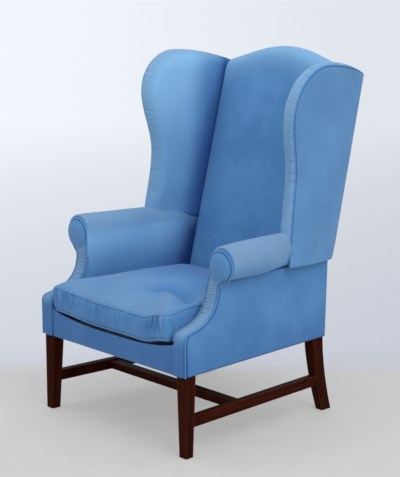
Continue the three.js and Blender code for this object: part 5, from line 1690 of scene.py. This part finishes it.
class ARMCHAIR_OT_arms(bpy.types.Operator):
    """Adds the inside arms with their rolls and the outside arm panels"""
    bl_idname = "armchair.arms"
    bl_label = "Arms"

    def execute(self, context):
        sizes = context.scene.armchair_sizes
        for side, sign, seed, shift, sag in ARM_WAYS:
            part, wear_and_shade, bleached_and_lit = inside_arm_part(sizes, seed, shift, sag)
            arm = new_object(f"inside_arm_cloth_{side}", mirror(part, sign), wear_and_shade, bleached_and_lit)
            upholster(arm, f"arm_pad_{side}")
            part, wear_and_shade = outside_arm_part()
            panel = new_object(f"outside_arm_cloth_{side}", mirror(part, sign), wear_and_shade)
            upholster(panel, f"outside_arm_{side}")
        return {"FINISHED"}


class ARMCHAIR_OT_facings(bpy.types.Operator):
    """Adds the arm facings with their scrolls, gathers and piping"""
    bl_idname = "armchair.facings"
    bl_label = "Arm facings"

    def execute(self, context):
        sizes = context.scene.armchair_sizes
        for side, sign, seed, shift, _ in ARM_WAYS:
            facing = new_object(f"arm_facing_cloth_{side}", mirror(facing_part(shift), sign))
            stuff(facing, voxel=2.6 * MM, rounds=5)
            refine(facing)
            border = facing_border(shift)
            dress_facing(facing, sign, shift, border, sizes, seed + 10)
            upholster(facing, f"arm_facing_{side}")
            cord = tube(border, sizes.piping / 2)
            upholster(new_object(f"arm_piping_{side}", mirror(cord, sign), wear_and_shade=0.1))
        return {"FINISHED"}


class ARMCHAIR_OT_wings(bpy.types.Operator):
    """Adds the stuffed inside wings, the outside wing panels and their piping"""
    bl_idname = "armchair.wings"
    bl_label = "Wings"

    def execute(self, context):
        sizes = context.scene.armchair_sizes
        for side, sign, seed in (("left", -1, 31), ("right", 1, 32)):
            part, wear_and_shade, bleached_and_lit = inside_wing_part(sizes, seed)
            wing = new_object(f"inside_wing_cloth_{side}", mirror(part, sign), wear_and_shade, bleached_and_lit)
            upholster(wing, f"inside_wing_{side}")
            part, wear_and_shade = outside_wing_part()
            panel = new_object(f"outside_wing_cloth_{side}", mirror(part, sign), wear_and_shade)
            upholster(panel, f"outside_wing_{side}")
            cord = tube(outside_wing_piping(), sizes.piping / 2)
            upholster(new_object(f"wing_piping_{side}", mirror(cord, sign), wear_and_shade=0.1))
        return {"FINISHED"}


class ARMCHAIR_OT_back(bpy.types.Operator):
    """Adds the crowned inside back and the outside back panel"""
    bl_idname = "armchair.back"
    bl_label = "Back"

    def execute(self, context):
        inside = new_object("inside_back_cloth", inside_back_part(context.scene.armchair_sizes))
        points = coordinates(inside)
        top = crest(points[:, 0]) - points[:, 2]
        side = BACK_HALF - np.abs(points[:, 0])
        # Heads have worn the crest, and bleaching and painted highlight lighten it; painted shade darkens the
        # cloth along the side seams
        wear_and_shade = 0.15 * nearness(top, 40 * MM) + seam_shade(side, reach=8 * MM, depth=0.7)
        paint_wear_and_shade(inside.data, wear_and_shade, 0.6 * nearness(top, 60 * MM))
        upholster(inside, "inside_back")
        outside = new_object("outside_back_cloth", outside_back_part(), wear_and_shade=0)
        upholster(outside, "outside_back")
        return {"FINISHED"}


class ARMCHAIR_OT_cushion(bpy.types.Operator):
    """Adds the loose seat cushion with its piping and filling"""
    bl_idname = "armchair.cushion"
    bl_label = "Seat cushion"

    def execute(self, context):
        make_cushion(context.scene.armchair_sizes)
        return {"FINISHED"}


OPERATORS = (
    ARMCHAIR_OT_studio, ARMCHAIR_OT_legs, ARMCHAIR_OT_frame, ARMCHAIR_OT_deck, ARMCHAIR_OT_front_border,
    ARMCHAIR_OT_arms, ARMCHAIR_OT_facings, ARMCHAIR_OT_wings, ARMCHAIR_OT_back, ARMCHAIR_OT_cushion,
)


class ARMCHAIR_PT_panel(bpy.types.Panel):
    """Lists the armchair's sizes, colours and pieces"""
    bl_idname = "ARMCHAIR_PT_panel"
    bl_label = "Wingback Armchair"
    bl_space_type = "VIEW_3D"
    bl_region_type = "UI"
    bl_category = "Armchair"

    def draw(self, context):
        for group in (context.scene.armchair_sizes, context.scene.armchair_colours):
            for name in group.__annotations__:
                self.layout.prop(group, name)
        for operator in OPERATORS:
            self.layout.operator(operator.bl_idname)


CLASSES = (ArmchairSizes, ArmchairColours) + OPERATORS + (ARMCHAIR_PT_panel,)


def register():
    for cls in CLASSES:
        bpy.utils.register_class(cls)
    bpy.types.Scene.armchair_sizes = bpy.props.PointerProperty(type=ArmchairSizes)
    bpy.types.Scene.armchair_colours = bpy.props.PointerProperty(type=ArmchairColours)


def unregister():
    del bpy.types.Scene.armchair_colours
    del bpy.types.Scene.armchair_sizes
    for cls in reversed(CLASSES):
        bpy.utils.unregister_class(cls)


def main():
    register()
    for operator in OPERATORS:
        group, name = operator.bl_idname.split(".")
        getattr(getattr(bpy.ops, group), name)()


if __name__ == "__main__":
    main()
